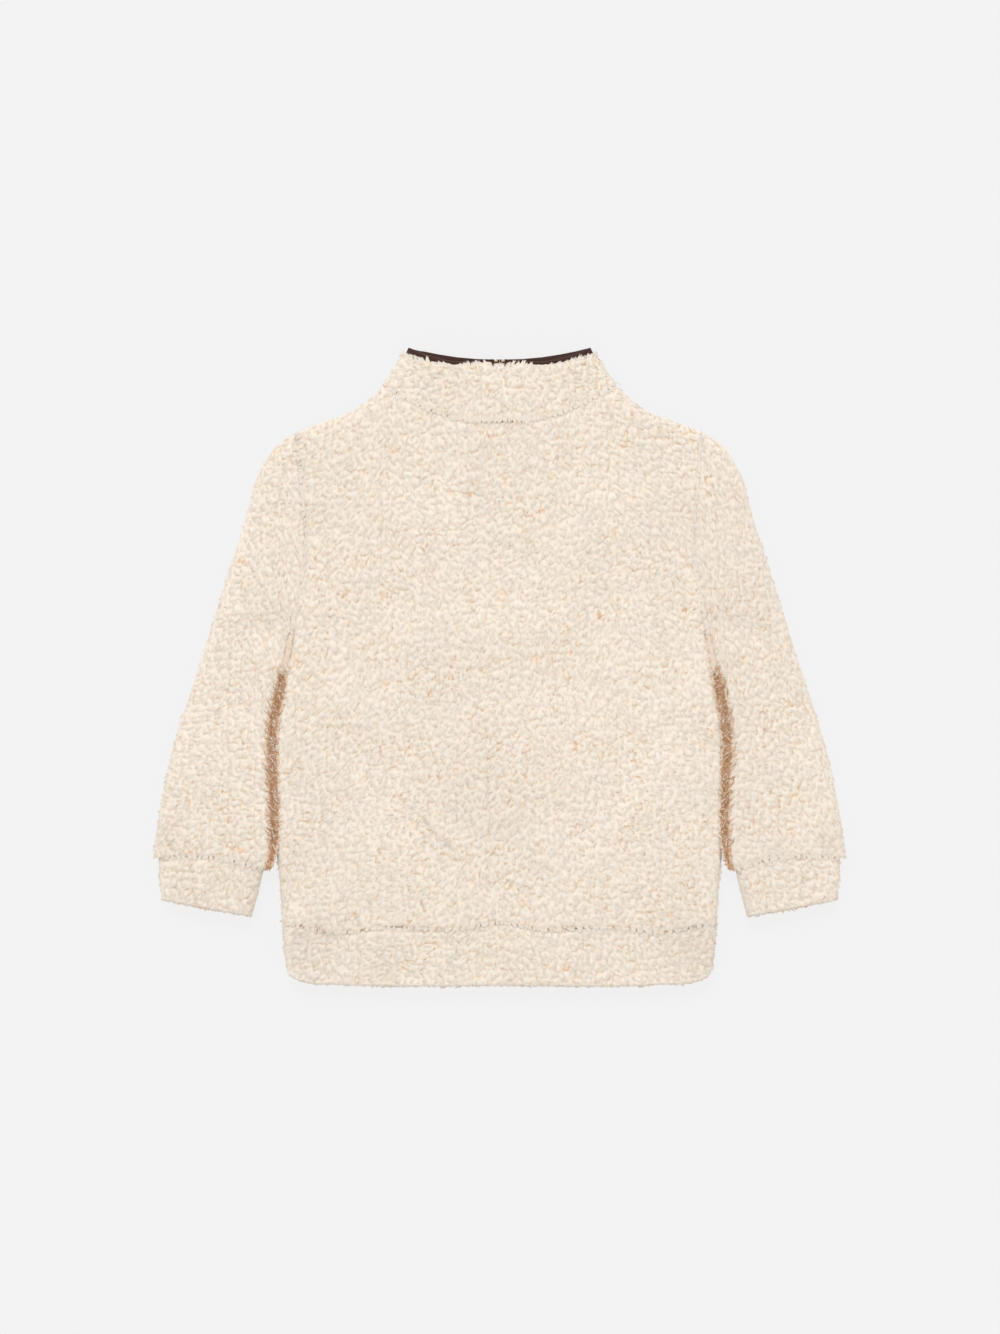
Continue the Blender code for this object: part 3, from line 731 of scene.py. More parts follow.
class NodeBoard:
    """A material's nodes, added and joined in few words."""

    def __init__(self, name: str, **finish: object) -> None:
        """Start a material with its shader, whose sockets have the finish's values."""
        self.material = bpy.data.materials.new(name)
        self.material.use_nodes = True
        self.tree = self.material.node_tree
        self.shader = self.tree.nodes["Principled BSDF"]
        self.place = self.add("TexCoord").outputs["Object"]
        self.fill(self.shader, **finish)

    def fill(self, node: bpy.types.Node, **settings: object) -> None:
        """Give a node what it works with.

        Args:
            node: The node.
            settings: Its own properties, and by its input sockets' names, with _ for a space, a value or an
                output that is joined to the socket.
        """
        for name, value in settings.items():
            socket = name.replace("_", " ")
            if isinstance(value, bpy.types.NodeSocket):
                self.tree.links.new(value, node.inputs[socket])
            elif hasattr(node, name):
                setattr(node, name, value)
            else:
                node.inputs[socket].default_value = value

    def add(self, kind: str, **settings: object) -> bpy.types.Node:
        """Add a node, named without the words ShaderNode, with settings as in fill, and return it."""
        node = self.tree.nodes.new("ShaderNode" + kind)
        self.fill(node, **settings)
        return node

    def noise(self, **settings: object) -> bpy.types.NodeSocket:
        """Add a noise and return its value."""
        return self.add("TexNoise", **settings).outputs["Fac"]

    def mapped(self, value: bpy.types.NodeSocket, *limits: float) -> bpy.types.NodeSocket:
        """Return a value mapped from between the first two limits to between the last two."""
        names = ("From_Min", "From_Max", "To_Min", "To_Max")
        return self.add("MapRange", Value=value, **dict(zip(names, limits))).outputs["Result"]

    def ramp(self, value: bpy.types.NodeSocket, *stops: tuple[float, Colour]) -> bpy.types.NodeSocket:
        """Colour a value.

        Args:
            value: The value.
            stops: Places on the ramp, each with its colour.

        Returns:
            The colour.
        """
        node = self.add("ValToRGB", Fac=value)
        elements = node.color_ramp.elements
        for place, _ in stops[1:-1]:
            elements.new(place)
        for element, (place, colour) in zip(elements, stops):
            element.position = place
            element.color = (*colour, 1.0)
        return node.outputs["Color"]

    def emboss(self, height: bpy.types.NodeSocket, strength: float, distance: float) -> None:
        """Raise fine relief on the surface."""
        bump = self.add("Bump", Height=height, Strength=strength, Distance=distance)
        self.fill(self.shader, Normal=bump.outputs["Normal"])


@dataclass(frozen=True)
class TeddyFleece:
    """Cream pile in fine strands. It is browned through warm and peach to brown as painted shade in the lines
    between tufts, at seams and in the gap beside the sleeves. Towards the roots it is browned partly as their
    own warmer tone and partly as painted shade.
    """

    cream: Colour = (0.82, 0.75, 0.657)
    # warm, peach and brown are painted shade: peach in the lines between tufts, brown in the gap and at seams
    warm: Colour = (0.82, 0.705, 0.58)
    crevice_shade_peach: Colour = (0.77, 0.54, 0.365)
    painted_shade_brown: Colour = (0.43, 0.2, 0.086)
    strand_depth: float = 0.0005

    def material(self, name: str) -> bpy.types.Material:
        """Build the finish under a name and return it."""
        board = NodeBoard(name, Roughness=0.95, Specular_IOR_Level=0.12)
        board.fill(board.shader, Sheen_Weight=0.25, Sheen_Roughness=0.6, Sheen_Tint=(1.0, 0.95, 0.88, 1.0))
        # The shade attribute picks the painted shade on the ramp; the tone attribute multiplies in painted
        # highlight and shade over the folds
        shade, tone = (
            board.add("Attribute", attribute_name=kind, attribute_type="GEOMETRY").outputs["Fac"]
            for kind in ("shade", "tone")
        )
        colour = board.ramp(shade, (0.0, self.cream), (0.3, self.warm), (0.62, self.crevice_shade_peach), (1.0, self.painted_shade_brown))
        cloud = board.noise(Vector=board.place, Scale=26.0, Detail=3.0, Roughness=0.55)
        strand = board.add("UVMap", uv_map="strand").outputs["UV"]
        comb = board.add("Mapping", Vector=strand, Scale=(3.2, 13.0, 1.0)).outputs["Vector"]
        fibres = board.noise(Vector=comb, Scale=1.0, Detail=3.5, Roughness=0.6, Distortion=0.35)
        board.emboss(fibres, 0.55, self.strand_depth)
        tint = board.mapped(cloud, 0.3, 0.7, 0.965, 1.02)
        streak = board.mapped(fibres, 0.25, 0.75, 0.95, 1.03)
        for share in (tint, tone, streak):
            mix = board.add("Mix", data_type="RGBA", blend_type="MULTIPLY", Factor=1.0, A=colour, B=share)
            colour = mix.outputs["Result"]
        board.fill(board.shader, Base_Color=colour)
        return board.material


@dataclass(frozen=True)
class WovenTape:
    """Dark brown tape, woven in fine ribs."""

    colour: Colour = (0.056, 0.024, 0.015)
    ribs: float = 900.0

    def material(self, name: str) -> bpy.types.Material:
        """Build the finish under a name and return it."""
        board = NodeBoard(name, Roughness=0.8, Specular_IOR_Level=0.25, Sheen_Weight=0.04)
        wave = board.add("TexWave", Vector=board.place, Scale=self.ribs, Distortion=0.4, Detail=1.0)
        wave.bands_direction = "DIAGONAL"
        ribs = wave.outputs["Fac"]
        board.emboss(ribs, 0.5, 0.0002)
        dark, light = (tuple(channel * share for channel in self.colour) for share in (0.75, 1.25))
        board.fill(board.shader, Base_Color=board.ramp(ribs, (0.0, dark), (1.0, light)))
        return board.material


@dataclass(frozen=True)
class AntiqueBrass:
    """Browned brass, worn a little paler."""

    colour: Colour = (0.42, 0.32, 0.22)
    worn: Colour = (0.62, 0.5, 0.34)

    def material(self, name: str) -> bpy.types.Material:
        """Build the finish under a name and return it."""
        board = NodeBoard(name, Metallic=1.0)
        wear = board.noise(Vector=board.place, Scale=700.0, Detail=4.0, Roughness=0.6)
        colour = board.ramp(wear, (0.4, self.colour), (0.7, self.worn))
        board.fill(board.shader, Base_Color=colour, Roughness=board.mapped(wear, 0.0, 1.0, 0.28, 0.46))
        return board.material


def unit(ways: Points, least: float = 1e-9) -> Points:
    """Return ways at a length of 1."""
    return ways / (np.linalg.norm(ways, axis=-1, keepdims=True) + least)


def upright(count: int) -> Points:
    """Return facings straight up for the root, middle and tip of locks."""
    return np.broadcast_to(np.array([0.0, 0.0, 1.0]), (count, 3, 3))


class Locks:
    """Locks of pile: closed three-sided strands that bend once and narrow to a tip, joined into one mesh."""

    roundness = 0.25

    def __init__(self) -> None:
        """Start with no lock."""
        self.parts = MeshParts()
        self.number = 0

    def lay(self, lines: Points, widths: Values, shades: Values, facings: Points) -> None:
        """Lay locks along their centrelines.

        Args:
            lines: For each lock, its centreline's root, middle and tip, in millimetres.
            widths: Half of each lock's width.
            shades: For each lock, how brown it is at those three places.
            facings: The way that the pile's surface faces at those places.
        """
        if not len(lines):
            return
        ends = ((0, 1), (0, 2), (1, 2))
        ways = unit(np.stack([lines[:, far] - lines[:, near] for near, far in ends], axis=1))
        sideways = unit(np.cross(ways, np.array([0.02, 0.03, 1.0])))
        upwards = np.cross(sideways, ways)
        numbers = []
        for station, share in enumerate((0.4, 1.0)):
            wide = sideways[:, station] * (widths * share)[:, None]
            tall = upwards[:, station] * (widths * share)[:, None]
            for offset in (-wide - 0.25 * tall, wide - 0.25 * tall, 0.6 * tall):
                places = lines[:, station] + offset
                numbers.append(self.add_station(places, shades[:, station], station / 2.0))
                self.add_normals(offset / widths[:, None], facings[:, station])
        tips = self.add_station(lines[:, 2], shades[:, 2], 1.0)
        self.add_normals(ways[:, 2], facings[:, 2])
        for corner in range(3):
            after = (corner + 1) % 3
            quad = [numbers[after], numbers[corner], numbers[3 + corner], numbers[3 + after]]
            self.parts.faces.append(np.stack(quad, axis=1))
            self.parts.faces.append(np.stack([numbers[3 + after], numbers[3 + corner], tips], axis=1))
        self.parts.faces.append(np.stack(numbers[:3], axis=1))
        self.number += len(lines)

    def add_normals(self, outwards: Points, facings: Points) -> None:
        """Give a point of each lock a normal between its own and its tuft's, so that it shades softly."""
        level, steep = 0.97, 0.75
        tilt = np.clip((level - facings[:, 2:]) / (level - steep), 0.0, 1.0)
        own = self.roundness + (1.0 - self.roundness) * tilt
        self.parts.normals.append(unit(own * outwards + (1.0 - own) * facings))

    def add_station(self, points: Points, shades: Values, share: float) -> np.ndarray:
        """Add one point to each lock, at a share of its length, and return the points' numbers."""
        strands = np.stack([np.full(len(points), share * 6.0), points[:, 0] % 7.0], axis=1)
        return self.parts.add_points(points, shades, strands)


def scattered(outline: Points, pitch: float, random: np.random.Generator) -> Points:
    """Scatter points evenly inside an outline.

    Args:
        outline: The outline's corners.
        pitch: The distance between neighbours.
        random: Where the random numbers come from.

    Returns:
        The points.
    """
    low, high = outline.min(axis=0), outline.max(axis=0)
    counts = np.ceil((high - low) / pitch).astype(int) + 1
    cells = np.stack(np.meshgrid(np.arange(counts[0]), np.arange(counts[1]), indexing="ij"), axis=-1)
    points = (low + (cells + random.uniform(0.0, 1.0, cells.shape)) * pitch).reshape(-1, 2)
    return points[inside(outline, points)]


def stepped(points: Points, heading: Values, along: Values, across: Values) -> Points:
    """Return points moved along and across their headings."""
    cos, sin = np.cos(heading), np.sin(heading)
    return points + np.stack((along * cos - across * sin, along * sin + across * cos), axis=1)


def eased(steps: int, strength: float) -> Values:
    """Return shares from 0 to 1 that lie closer together near both."""
    shares = np.linspace(0.0, 1.0, steps + 1)
    return shares - strength * np.sin(2.0 * math.pi * shares) / (2.0 * math.pi) * 2.0


class Row(NamedTuple):
    """A row of locks laid over a seam or an edge, to hide it as the pile does."""

    line: PlanLine
    low: float
    high: float
    spacing: float
    heading: float | None
    spread: float
    shortest: float
    longest: float
    before: float
    bare: float
    clump: float = 3.6
    level: float = 0.0
    # browns: how brown a lock is at root, middle and tip, the roots' warmer tone together with painted shade
    # deep in the pile
    browns: Triple = (0.14, 0.06, 0.0)


class Cut(NamedTuple):
    """What a piece was cut to: its width all round, its length, and its flat area, in metres."""

    width: float
    length: float
    area: float


@dataclass
class FleecePiece:
    """A piece of teddy fleece: its outer faces are fine and tufted, its inner ones plain."""

    name: str
    fleece: bpy.types.Material
    step: float = 1.3
    underside_step: float = 2.2
    coarse: int = 6
    lock_pitch: float = 1.47
    pressed: float = 0.8
    crack: float = 0.3
    loose: float = 0.12
    softness: float = 0.13
    # browns: how brown each lock is at root, middle and tip, the roots' warmer tone together with painted shade
    # deep in the pile
    browns: Triple = (0.2, 0.05, 0.0)
    patch: Patch = field(init=False)
    layers: Layers = field(init=False)

    def seam_rows(self) -> list[Row]:
        """Return the rows of locks over the piece's seams and edges."""
        return []

    def tufted(self, points: Points, heights: Values, lift: float) -> tuple[Points, Values, Points]:
        """Raise or sink the pile on a face.

        Args:
            points: The face's plan points.
            heights: Its heights there.
            lift: How much of the tufts' height is added: above 0 upwards, below 0 for pressed tufts.

        Returns:
            The points, how brown each is, and its place along and across its tuft.
        """
        reading = PILE.read(points)
        relief = PILE.relief(reading)
        if lift < 0.0:
            relief = np.maximum(PILE.height - relief, 0.0)
        # Painted shade: the lines between tufts, the seams and the gap are browned on the shell
        shade = np.maximum(PILE.crevice(reading, points), SHADING.at(points))
        places = np.column_stack((points, heights + abs(lift) * relief))
        return places, shade, np.column_stack((reading.along, reading.across))

    def beyond(self, points: Points) -> tuple[Values, Values]:
        """Find the points outside a free edge.

        Args:
            points: The plan points.

        Returns:
            True for each point outside, and how far each one is from the nearest free edge.
        """
        near_enough = 10.0
        free = nearest([*self.layers.rounded, *self.layers.ends], points)
        outside = free < near_enough
        near = points[outside]
        unseamed = free[outside] < nearest(self.layers.seams, near)
        outside[outside] = ~inside(self.patch.outline(), near) & unseamed
        return outside, free

    def ground(self, points: Points) -> Values:
        """Return the heights under the upper face's tufts, which fall away outside a free edge."""
        outside, free = self.beyond(points)
        edge = self.layers.rim_height + self.layers.rim_half
        return np.where(outside, edge - 0.8 * free, self.layers.back(points))

    def facing(self, plan: Points, relief: Values) -> Points:
        """Find the way the upper face looks at the places of locks, softened.

        Args:
            plan: The plan places of each lock's root, middle and tip.
            relief: The height of the pile there.

        Returns:
            The ways, for the same places.
        """
        reach = 0.7
        flat = plan.reshape(-1, 2)
        middles = plan[:, 1]
        ground = self.ground(middles)
        slopes = []
        for step in (np.array([reach, 0.0]), np.array([0.0, reach])):
            slope = PILE.relief(PILE.read(flat + step)) - relief
            broad = self.ground(middles + step) - ground
            slopes.append((slope.reshape(-1, 3) + broad[:, None]) / reach)
        ways = np.stack((*(-self.softness * slope for slope in slopes), np.ones(slopes[0].shape)), axis=2)
        ways[..., :2] = np.clip(ways[..., :2], -0.9, 0.9)
        return unit(ways, 0.0)

    def pile_locks(self, keep: Keep, seed: int) -> Locks:
        """Lay the pile's locks on the upper face, each one inside its own tuft.

        Args:
            keep: Says for roots' places which of them are laid.
            seed: The seed of the locks' random shapes.

        Returns:
            The locks.
        """
        random = np.random.default_rng(seed)
        roots = scattered(self.patch.outline(), self.lock_pitch, random)
        roots = roots[keep(roots)]
        reading = PILE.read(roots)
        clear = reading.edge > self.crack
        roots, reading = roots[clear], reading.kept(clear)
        count = len(roots)
        pull = random.uniform(0.45, 0.95, count)
        tip_across = -pull * reading.across + random.uniform(-0.4, 0.4, count)
        lengths = random.uniform(3.4, 6.4, count)
        tips = self.gathered(roots, stepped(roots, reading.heading, lengths, tip_across), reading)
        loose = random.random(count) < self.loose
        headings = PILE.combed(roots) + random.normal(0.0, 0.3, count)
        stray = stepped(roots, headings, 0.8 * lengths, 0.0 * lengths)
        tips = self.reined(roots, np.where(loose[:, None], stray, tips), random)
        curl = random.normal(0.0, 0.22, count) + 1.1 * (reading.draw - 0.5)
        tone = 0.06 * reading.draw + random.uniform(-0.03, 0.04, count)
        locks = Locks()
        self.lay_locks(locks, roots, tips, curl, tone, random)
        for row in self.seam_rows():
            self.lay_row(locks, row, keep, random)
        return locks

    def lay_locks(
        self,
        locks: Locks,
        roots: Points,
        tips: Points,
        curl: Values,
        tone: Values,
        random: np.random.Generator,
        row: Row | None = None,
    ) -> None:
        """Lay locks between roots and tips, on the pile's surface.

        Args:
            locks: Where they are added.
            roots: Their roots on plan.
            tips: Their tips.
            curl: How far the middle of each one is pushed sideways.
            tone: How much browner each one is than its fellows.
            random: Where the random numbers come from.
            row: The row that they make over a seam, which hides the seam's painted brown shade, or None.
        """
        count = len(roots)
        ways = tips - roots
        lengths = np.linalg.norm(ways, axis=1) + 1e-6
        sideways = np.column_stack((-ways[:, 1], ways[:, 0])) / lengths[:, None]
        middles = 0.5 * (roots + tips) + sideways * (curl * np.clip(lengths / 6.0, 0.0, 1.0))[:, None]
        plan = np.stack((roots, middles, tips), axis=1)
        flat = plan.reshape(-1, 2)
        reading = PILE.read(flat)
        relief = PILE.relief(reading)
        heights = (self.ground(flat) + relief).reshape(count, 3)
        if row:
            heights[:, 1:] = np.maximum(heights[:, 1:], row.level)
        heights[:, 1] = np.maximum(heights[:, 1], 0.5 * (heights[:, 0] + heights[:, 2]))
        sunk = np.array([-0.9, 0.15, -0.1] if row else [-0.6, 0.22, 0.05])
        heights += sunk + random.uniform(0.0, 0.3, (count, 1))
        lines = np.concatenate((plan, heights[:, :, None]), axis=2)
        shades = np.array(row.browns if row else self.browns) + tone[:, None]
        # Away from rows, each lock takes the painted shade of the seams, the gap and the lines between tufts
        # where it lies
        if not row:
            seams = np.maximum(SHADING.at(flat), PILE.crevice(reading, flat))
            shades = np.maximum(seams.reshape(count, 3), shades)
        locks.lay(lines, random.uniform(0.38, 0.58, count), shades, self.facing(plan, relief))

    def lay_row(self, locks: Locks, row: Row, keep: Keep, random: np.random.Generator) -> None:
        """Lay a row of locks over a seam or an edge.

        Args:
            locks: Where they are added.
            row: The row.
            keep: Says which places are laid.
            random: Where the random numbers come from.
        """
        chain = row.line.at(np.linspace(row.low, row.high, 80))
        length = float(np.sum(np.linalg.norm(np.diff(chain, axis=0), axis=1)))
        count = int(length / row.spacing)
        clumps = max(round(length / row.clump), 1)
        shares = random.uniform(0.0, 1.0, count) * clumps
        number = np.floor(shares).astype(int)
        centres = number + random.uniform(0.3, 0.7, clumps)[number]
        drawn = row.low + (row.high - row.low) * (shares + 0.65 * (centres - shares)) / clumps
        places = row.line.at(row.low + (row.high - row.low) * shares / clumps)
        shifts = row.line.at(drawn) - places
        fullness = random.uniform(0.72, 1.25, clumps)[number]
        covered = SHADING.breaks.at(places * 1.7) < 1.0 - 2.2 * row.bare
        chosen = covered & keep(places)
        places, shifts, fullness = places[chosen], shifts[chosen], fullness[chosen]
        count = len(places)
        if not count:
            return
        headings = PILE.combed(places)
        if row.heading is not None:
            onward = math.radians(row.heading)
            headings = np.where(places[:, 0] < 0.0, math.pi - onward, onward)
        headings = headings + np.radians(random.uniform(-row.spread, row.spread, count))
        lengths = random.uniform(row.shortest, row.longest, count) * fullness
        sway = random.uniform(-0.6, 0.6, count)
        roots = stepped(places, headings, -row.before * lengths, sway)
        tips = stepped(places, headings, (1.0 - row.before) * lengths, 0.3 * sway) + shifts
        curl = random.normal(0.0, 0.4, count)
        tone = random.uniform(-0.04, 0.1, count)
        self.lay_locks(locks, roots, tips, curl, tone, random, row)

    def gathered(self, roots: Points, tips: Points, reading: TuftReading) -> Points:
        """Shorten locks so that each ends inside its own tuft.

        Args:
            roots: The locks' roots.
            tips: Their tips.
            reading: What the pile is at the roots.

        Returns:
            The tips, moved.
        """
        ways = tips - roots
        overlap = 0.04
        shares = np.full(len(roots), 0.3)
        for share in (0.45, 0.6, 0.8, 1.0):
            found = PILE.read(roots + share * ways)
            shares = np.where(found.tuft == reading.tuft, share, shares)
        return roots + ways * (shares + overlap)[:, None]

    def reined(self, roots: Points, tips: Points, random: np.random.Generator) -> Points:
        """Shorten locks that would reach far past a rounded edge or an open end.

        Args:
            roots: The locks' roots.
            tips: Their tips.
            random: Where the random numbers come from.

        Returns:
            The tips, moved.
        """
        proud = random.uniform(0.2, 1.7, len(roots))
        outside, free = self.beyond(tips)
        ways = tips - roots
        lengths = np.linalg.norm(ways, axis=1) + 1e-9
        short = np.clip(1.0 - 1.3 * (free - proud) / lengths, 0.25, 1.0)
        return roots + ways * np.where(outside & (free > proud), short, 1.0)[:, None]

    def piles(self, node: str, seed: int) -> list[bpy.types.Object]:
        """Make the pile's objects, named for the solid's node, with their own seed."""
        return [self.pile(node + "_pile", everywhere, seed)]

    def pile(self, name: str, keep: Keep, seed: int) -> bpy.types.Object:
        """Make one object of locks, at the places that are kept."""
        locks = self.pile_locks(keep, seed)
        LOG.info("%s: %d locks", name, locks.number)
        return locks.parts.to_object(name, self.fleece)

    def cut(self, layers: int) -> Cut:
        """Work out the flat cut of a piece from its plan.

        Args:
            layers: How many layers of it lie on each other.

        Returns:
            Its cut.
        """
        shares = np.linspace(0.0, 1.0, 41)
        grid = self.patch.grid(shares, shares)
        width = np.max(np.sum(np.linalg.norm(np.diff(grid, axis=1), axis=2), axis=1))
        length = np.max(np.sum(np.linalg.norm(np.diff(grid, axis=0), axis=2), axis=0))
        across, along = self.patch.outline().T
        area = abs(np.sum(across * np.roll(along, -1) - along * np.roll(across, -1))) / 2.0
        return Cut(layers * width * MM, length * MM, layers * area * MM * MM)


@dataclass
class Panel(FleecePiece):
    """The back or the front: one face tufted, the other plain, bridged round the border."""

    upper: bool = True

    def build(self) -> bpy.types.Object:
        """Build the panel's shell and return it."""
        sides = [
            PlanLine(half(SIDE_SEAM, side), half(ARMHOLE, side), breaks=(UNDERARM_BREAK,)) for side in Side
        ]
        seams, self.armholes, shoulders = (
            [PlanLine(half(line, side)) for side in Side] for line in (SIDE_SEAM, ARMHOLE, SHOULDER)
        )
        hem = PlanLine(whole(HEM_SEAM))
        neck = whole(BACK_NECK if self.upper else FRONT_NECK)
        left, right = half(SHOULDER, Side.LEFT), half(SHOULDER, Side.RIGHT)[::-1]
        head = PlanLine(left, neck, right, breaks=(NECK_BREAK, 1.0 - NECK_BREAK))
        self.patch = Patch(hem, head, *sides, (0.0, SEAM_GAP), (0.0, -SEAM_GAP), SEAM_GAP)
        self.layers = Layers(seams + shoulders, [hem, PlanLine(neck), *self.armholes])
        step = self.step if self.upper else self.underside_step
        columns, rows = (self.coarse * round(size / step / self.coarse) for size in (286.0, 340.0))
        panel = self.shell(columns, rows)
        if not self.upper:
            slit_for_zip(panel)
        return panel

    def seam_rows(self) -> list[Row]:
        """Return the rows over the armhole seams."""
        kinds = (
            (0.1, 0.985, 0.36, None, 30.0, 4.2, 6.6, 0.5, 0.06),
            (0.0, 0.14, 0.22, 322.0, 24.0, 4.0, 6.2, 0.5, 0.0, 3.6, 13.0),
            (0.0, 0.14, 0.3, 226.0, 24.0, 4.0, 6.2, 0.5, 0.0, 3.6, 13.2),
        )
        return [Row(line, *kind) for kind in kinds for line in self.armholes]

    def piles(self, node: str, seed: int) -> list[bpy.types.Object]:
        """Make the back's pile in two halves; the front's is pressed into its face."""
        if not self.upper:
            return []
        return [
            self.pile(node + "_pile_upper", lambda spots: spots[:, 1] >= 0.0, seed),
            self.pile(node + "_pile_lower", lambda spots: spots[:, 1] < 0.0, seed + 50),
        ]

    def shell(self, columns: int, rows: int) -> bpy.types.Object:
        """Build the tufted face and the plain one, and join them at the border.

        Args:
            columns: How many cells the tufted face has across.
            rows: How many it has along.

        Returns:
            The object.
        """
        inner_shade = 0.15
        parts = MeshParts()
        grid = self.patch.grid(eased(columns, 0.06), eased(rows, 0.03))
        plan = grid.reshape(-1, 2)
        heights = self.layers.back(plan) if self.upper else self.layers.front(plan)
        fine = parts.add_points(*self.tufted(plan, heights, 1.0 if self.upper else -self.pressed))
        fine = fine.reshape(rows + 1, columns + 1)
        plain = grid[::self.coarse, ::self.coarse]
        plan = plain.reshape(-1, 2)
        places = np.column_stack((plan, self.layers.inner(plan, self.upper)))
        inner = parts.add_points(places, inner_shade, plan).reshape(plain.shape[:2])
        parts.add_quads(fine if self.upper else fine[:, ::-1])
        parts.add_quads(inner[:, ::-1] if self.upper else inner)
        foot, end = (0, slice(None, None, -1)), -1
        left, right = (slice(None), 0), (slice(None, None, -1), -1)
        for border in (foot, end, left, right):
            parts.add_rim(fine[border], inner[border], not self.upper)
        return parts.to_object(self.name, self.fleece)


@dataclass
class Tube(FleecePiece):
    """A flattened tube of fleece: a tufted outside that is finer on top, and a plain inside."""

    columns: int = 60
    underside_columns: int = 30
    rows: int = 60
    inner_rows: int = 8
    easing: float = 0.1

    def shell(self, patch: Patch, front_patch: Patch, layers: Layers) -> bpy.types.Object:
        """Build the outside and the inside, and join them at both ends.

        Args:
            patch: The upper layer's plan.
            front_patch: The lower layer's plan.
            layers: The heights of both.

        Returns:
            The object.
        """
        self.patch, self.layers = patch, layers
        parts = MeshParts()
        along = np.linspace(0.0, 1.0, self.rows + 1)
        upper = patch.grid(eased(self.columns, self.easing), along)
        lower = front_patch.grid(eased(self.underside_columns, self.easing)[::-1], along)[:, 1:-1]
        flat = upper.reshape(-1, 2)
        top = parts.add_points(*self.tufted(flat, layers.back(flat), 1.0)).reshape(upper.shape[:2])
        flat = lower.reshape(-1, 2)
        foot = parts.add_points(*self.tufted(flat, layers.front(flat), -self.pressed))
        foot = foot.reshape(lower.shape[:2])
        ring = np.concatenate((top, foot, top[:, :1]), axis=1)
        inner = self.inside_ring(parts, front_patch)
        turned = self.runs_clockwise()
        parts.add_quads(ring[:, ::-1] if turned else ring)
        parts.add_quads(inner if turned else inner[:, ::-1])
        parts.add_rim(ring[0], inner[0], not turned)
        parts.add_rim(ring[-1], inner[-1], turned)
        return parts.to_object(self.name, self.fleece)

    def inside_ring(self, parts: MeshParts, front_patch: Patch) -> np.ndarray:
        """Add the points of the inside.

        Args:
            parts: The mesh.
            front_patch: The lower layer's plan.

        Returns:
            Their numbers by row and place round the ring, with the first place again at the end.
        """
        inner_shade = 0.35
        along = np.linspace(0.0, 1.0, self.inner_rows + 1)
        margins = self.layers.rim_width / self.patch.widths(along)
        upper = eased(self.columns // self.coarse, self.easing)
        lower = eased(self.underside_columns // self.coarse, self.easing)[::-1][1:-1]
        walls = ((self.patch, upper, self.layers.back_inner), (front_patch, lower, self.layers.front_wall))
        rows = []
        for share, margin in zip(along, margins):
            ring = []
            for patch, shares, height in walls:
                plan = patch.grid(np.clip(shares, margin, 1.0 - margin), np.array([share]))[0]
                ring.append(np.column_stack((plan, np.full(len(plan), height))))
            points = np.concatenate(ring)
            numbers = parts.add_points(points, inner_shade, points[:, :2])
            rows.append(np.append(numbers, numbers[0]))
        return np.array(rows)

    def runs_clockwise(self) -> bool:
        """Tell whether the patch runs clockwise, so that its faces have to be turned."""
        corners = self.patch.grid(np.array([0.0, 1.0]), np.array([0.0, 1.0]))
        rightward, upward = corners[0, 1] - corners[0, 0], corners[1, 0] - corners[0, 0]
        return bool(rightward[0] * upward[1] - rightward[1] * upward[0] < 0.0)


class GapStrands(NamedTuple):
    """One kind of strands between sleeve and body, browned as painted shade in the gap.

    The nearest and furthest place across the gap are above 0 on the sleeve's side, and so is a turn towards
    the body, in degrees from straight down the gap.
    """

    count: int
    low: float
    high: float
    nearest: float
    furthest: float
    turn: float
    spread: float
    shortest: float
    longest: float
    floor: float
    lift: float
    width: float
    browns: Triple


# Strands of the gap between sleeve and body; their browns are painted shade
GAP_STRANDS = (
    GapStrands(620, 0.0, 0.15, -6.5, 5.5, 8.0, 26.0, 2.6, 4.8, 13.2, 0.3, 0.46, (0.44, 0.4, 0.36)),
    GapStrands(2300, 0.1, 0.985, -3.2, 3.2, 14.0, 40.0, 2.8, 5.4, 11.9, 0.1, 0.56, (0.9, 0.86, 0.82)),
    GapStrands(700, 0.06, 0.97, 3.0, 4.2, 50.0, 22.0, 2.4, 4.8, 12.4, 0.2, 0.42, (0.2, 0.42, 0.74)),
    GapStrands(600, 0.06, 0.97, -4.2, -3.0, -34.0, 26.0, 2.0, 4.2, 12.4, 0.2, 0.42, (0.15, 0.4, 0.74)),
    GapStrands(150, 0.13, 0.88, 2.0, 5.6, 40.0, 14.0, 5.5, 10.0, 13.4, 0.7, 0.22, (0.5, 0.85, 1.0)),
    GapStrands(60, 0.13, 0.88, -4.6, -1.0, -58.0, 22.0, 3.0, 6.0, 13.4, 0.7, 0.22, (0.9, 0.85, 0.7)),
    GapStrands(80, 0.1, 0.9, -2.4, 2.8, 46.0, 24.0, 2.6, 5.0, 13.4, 0.6, 0.34, (0.34, 0.2, 0.12)),
)


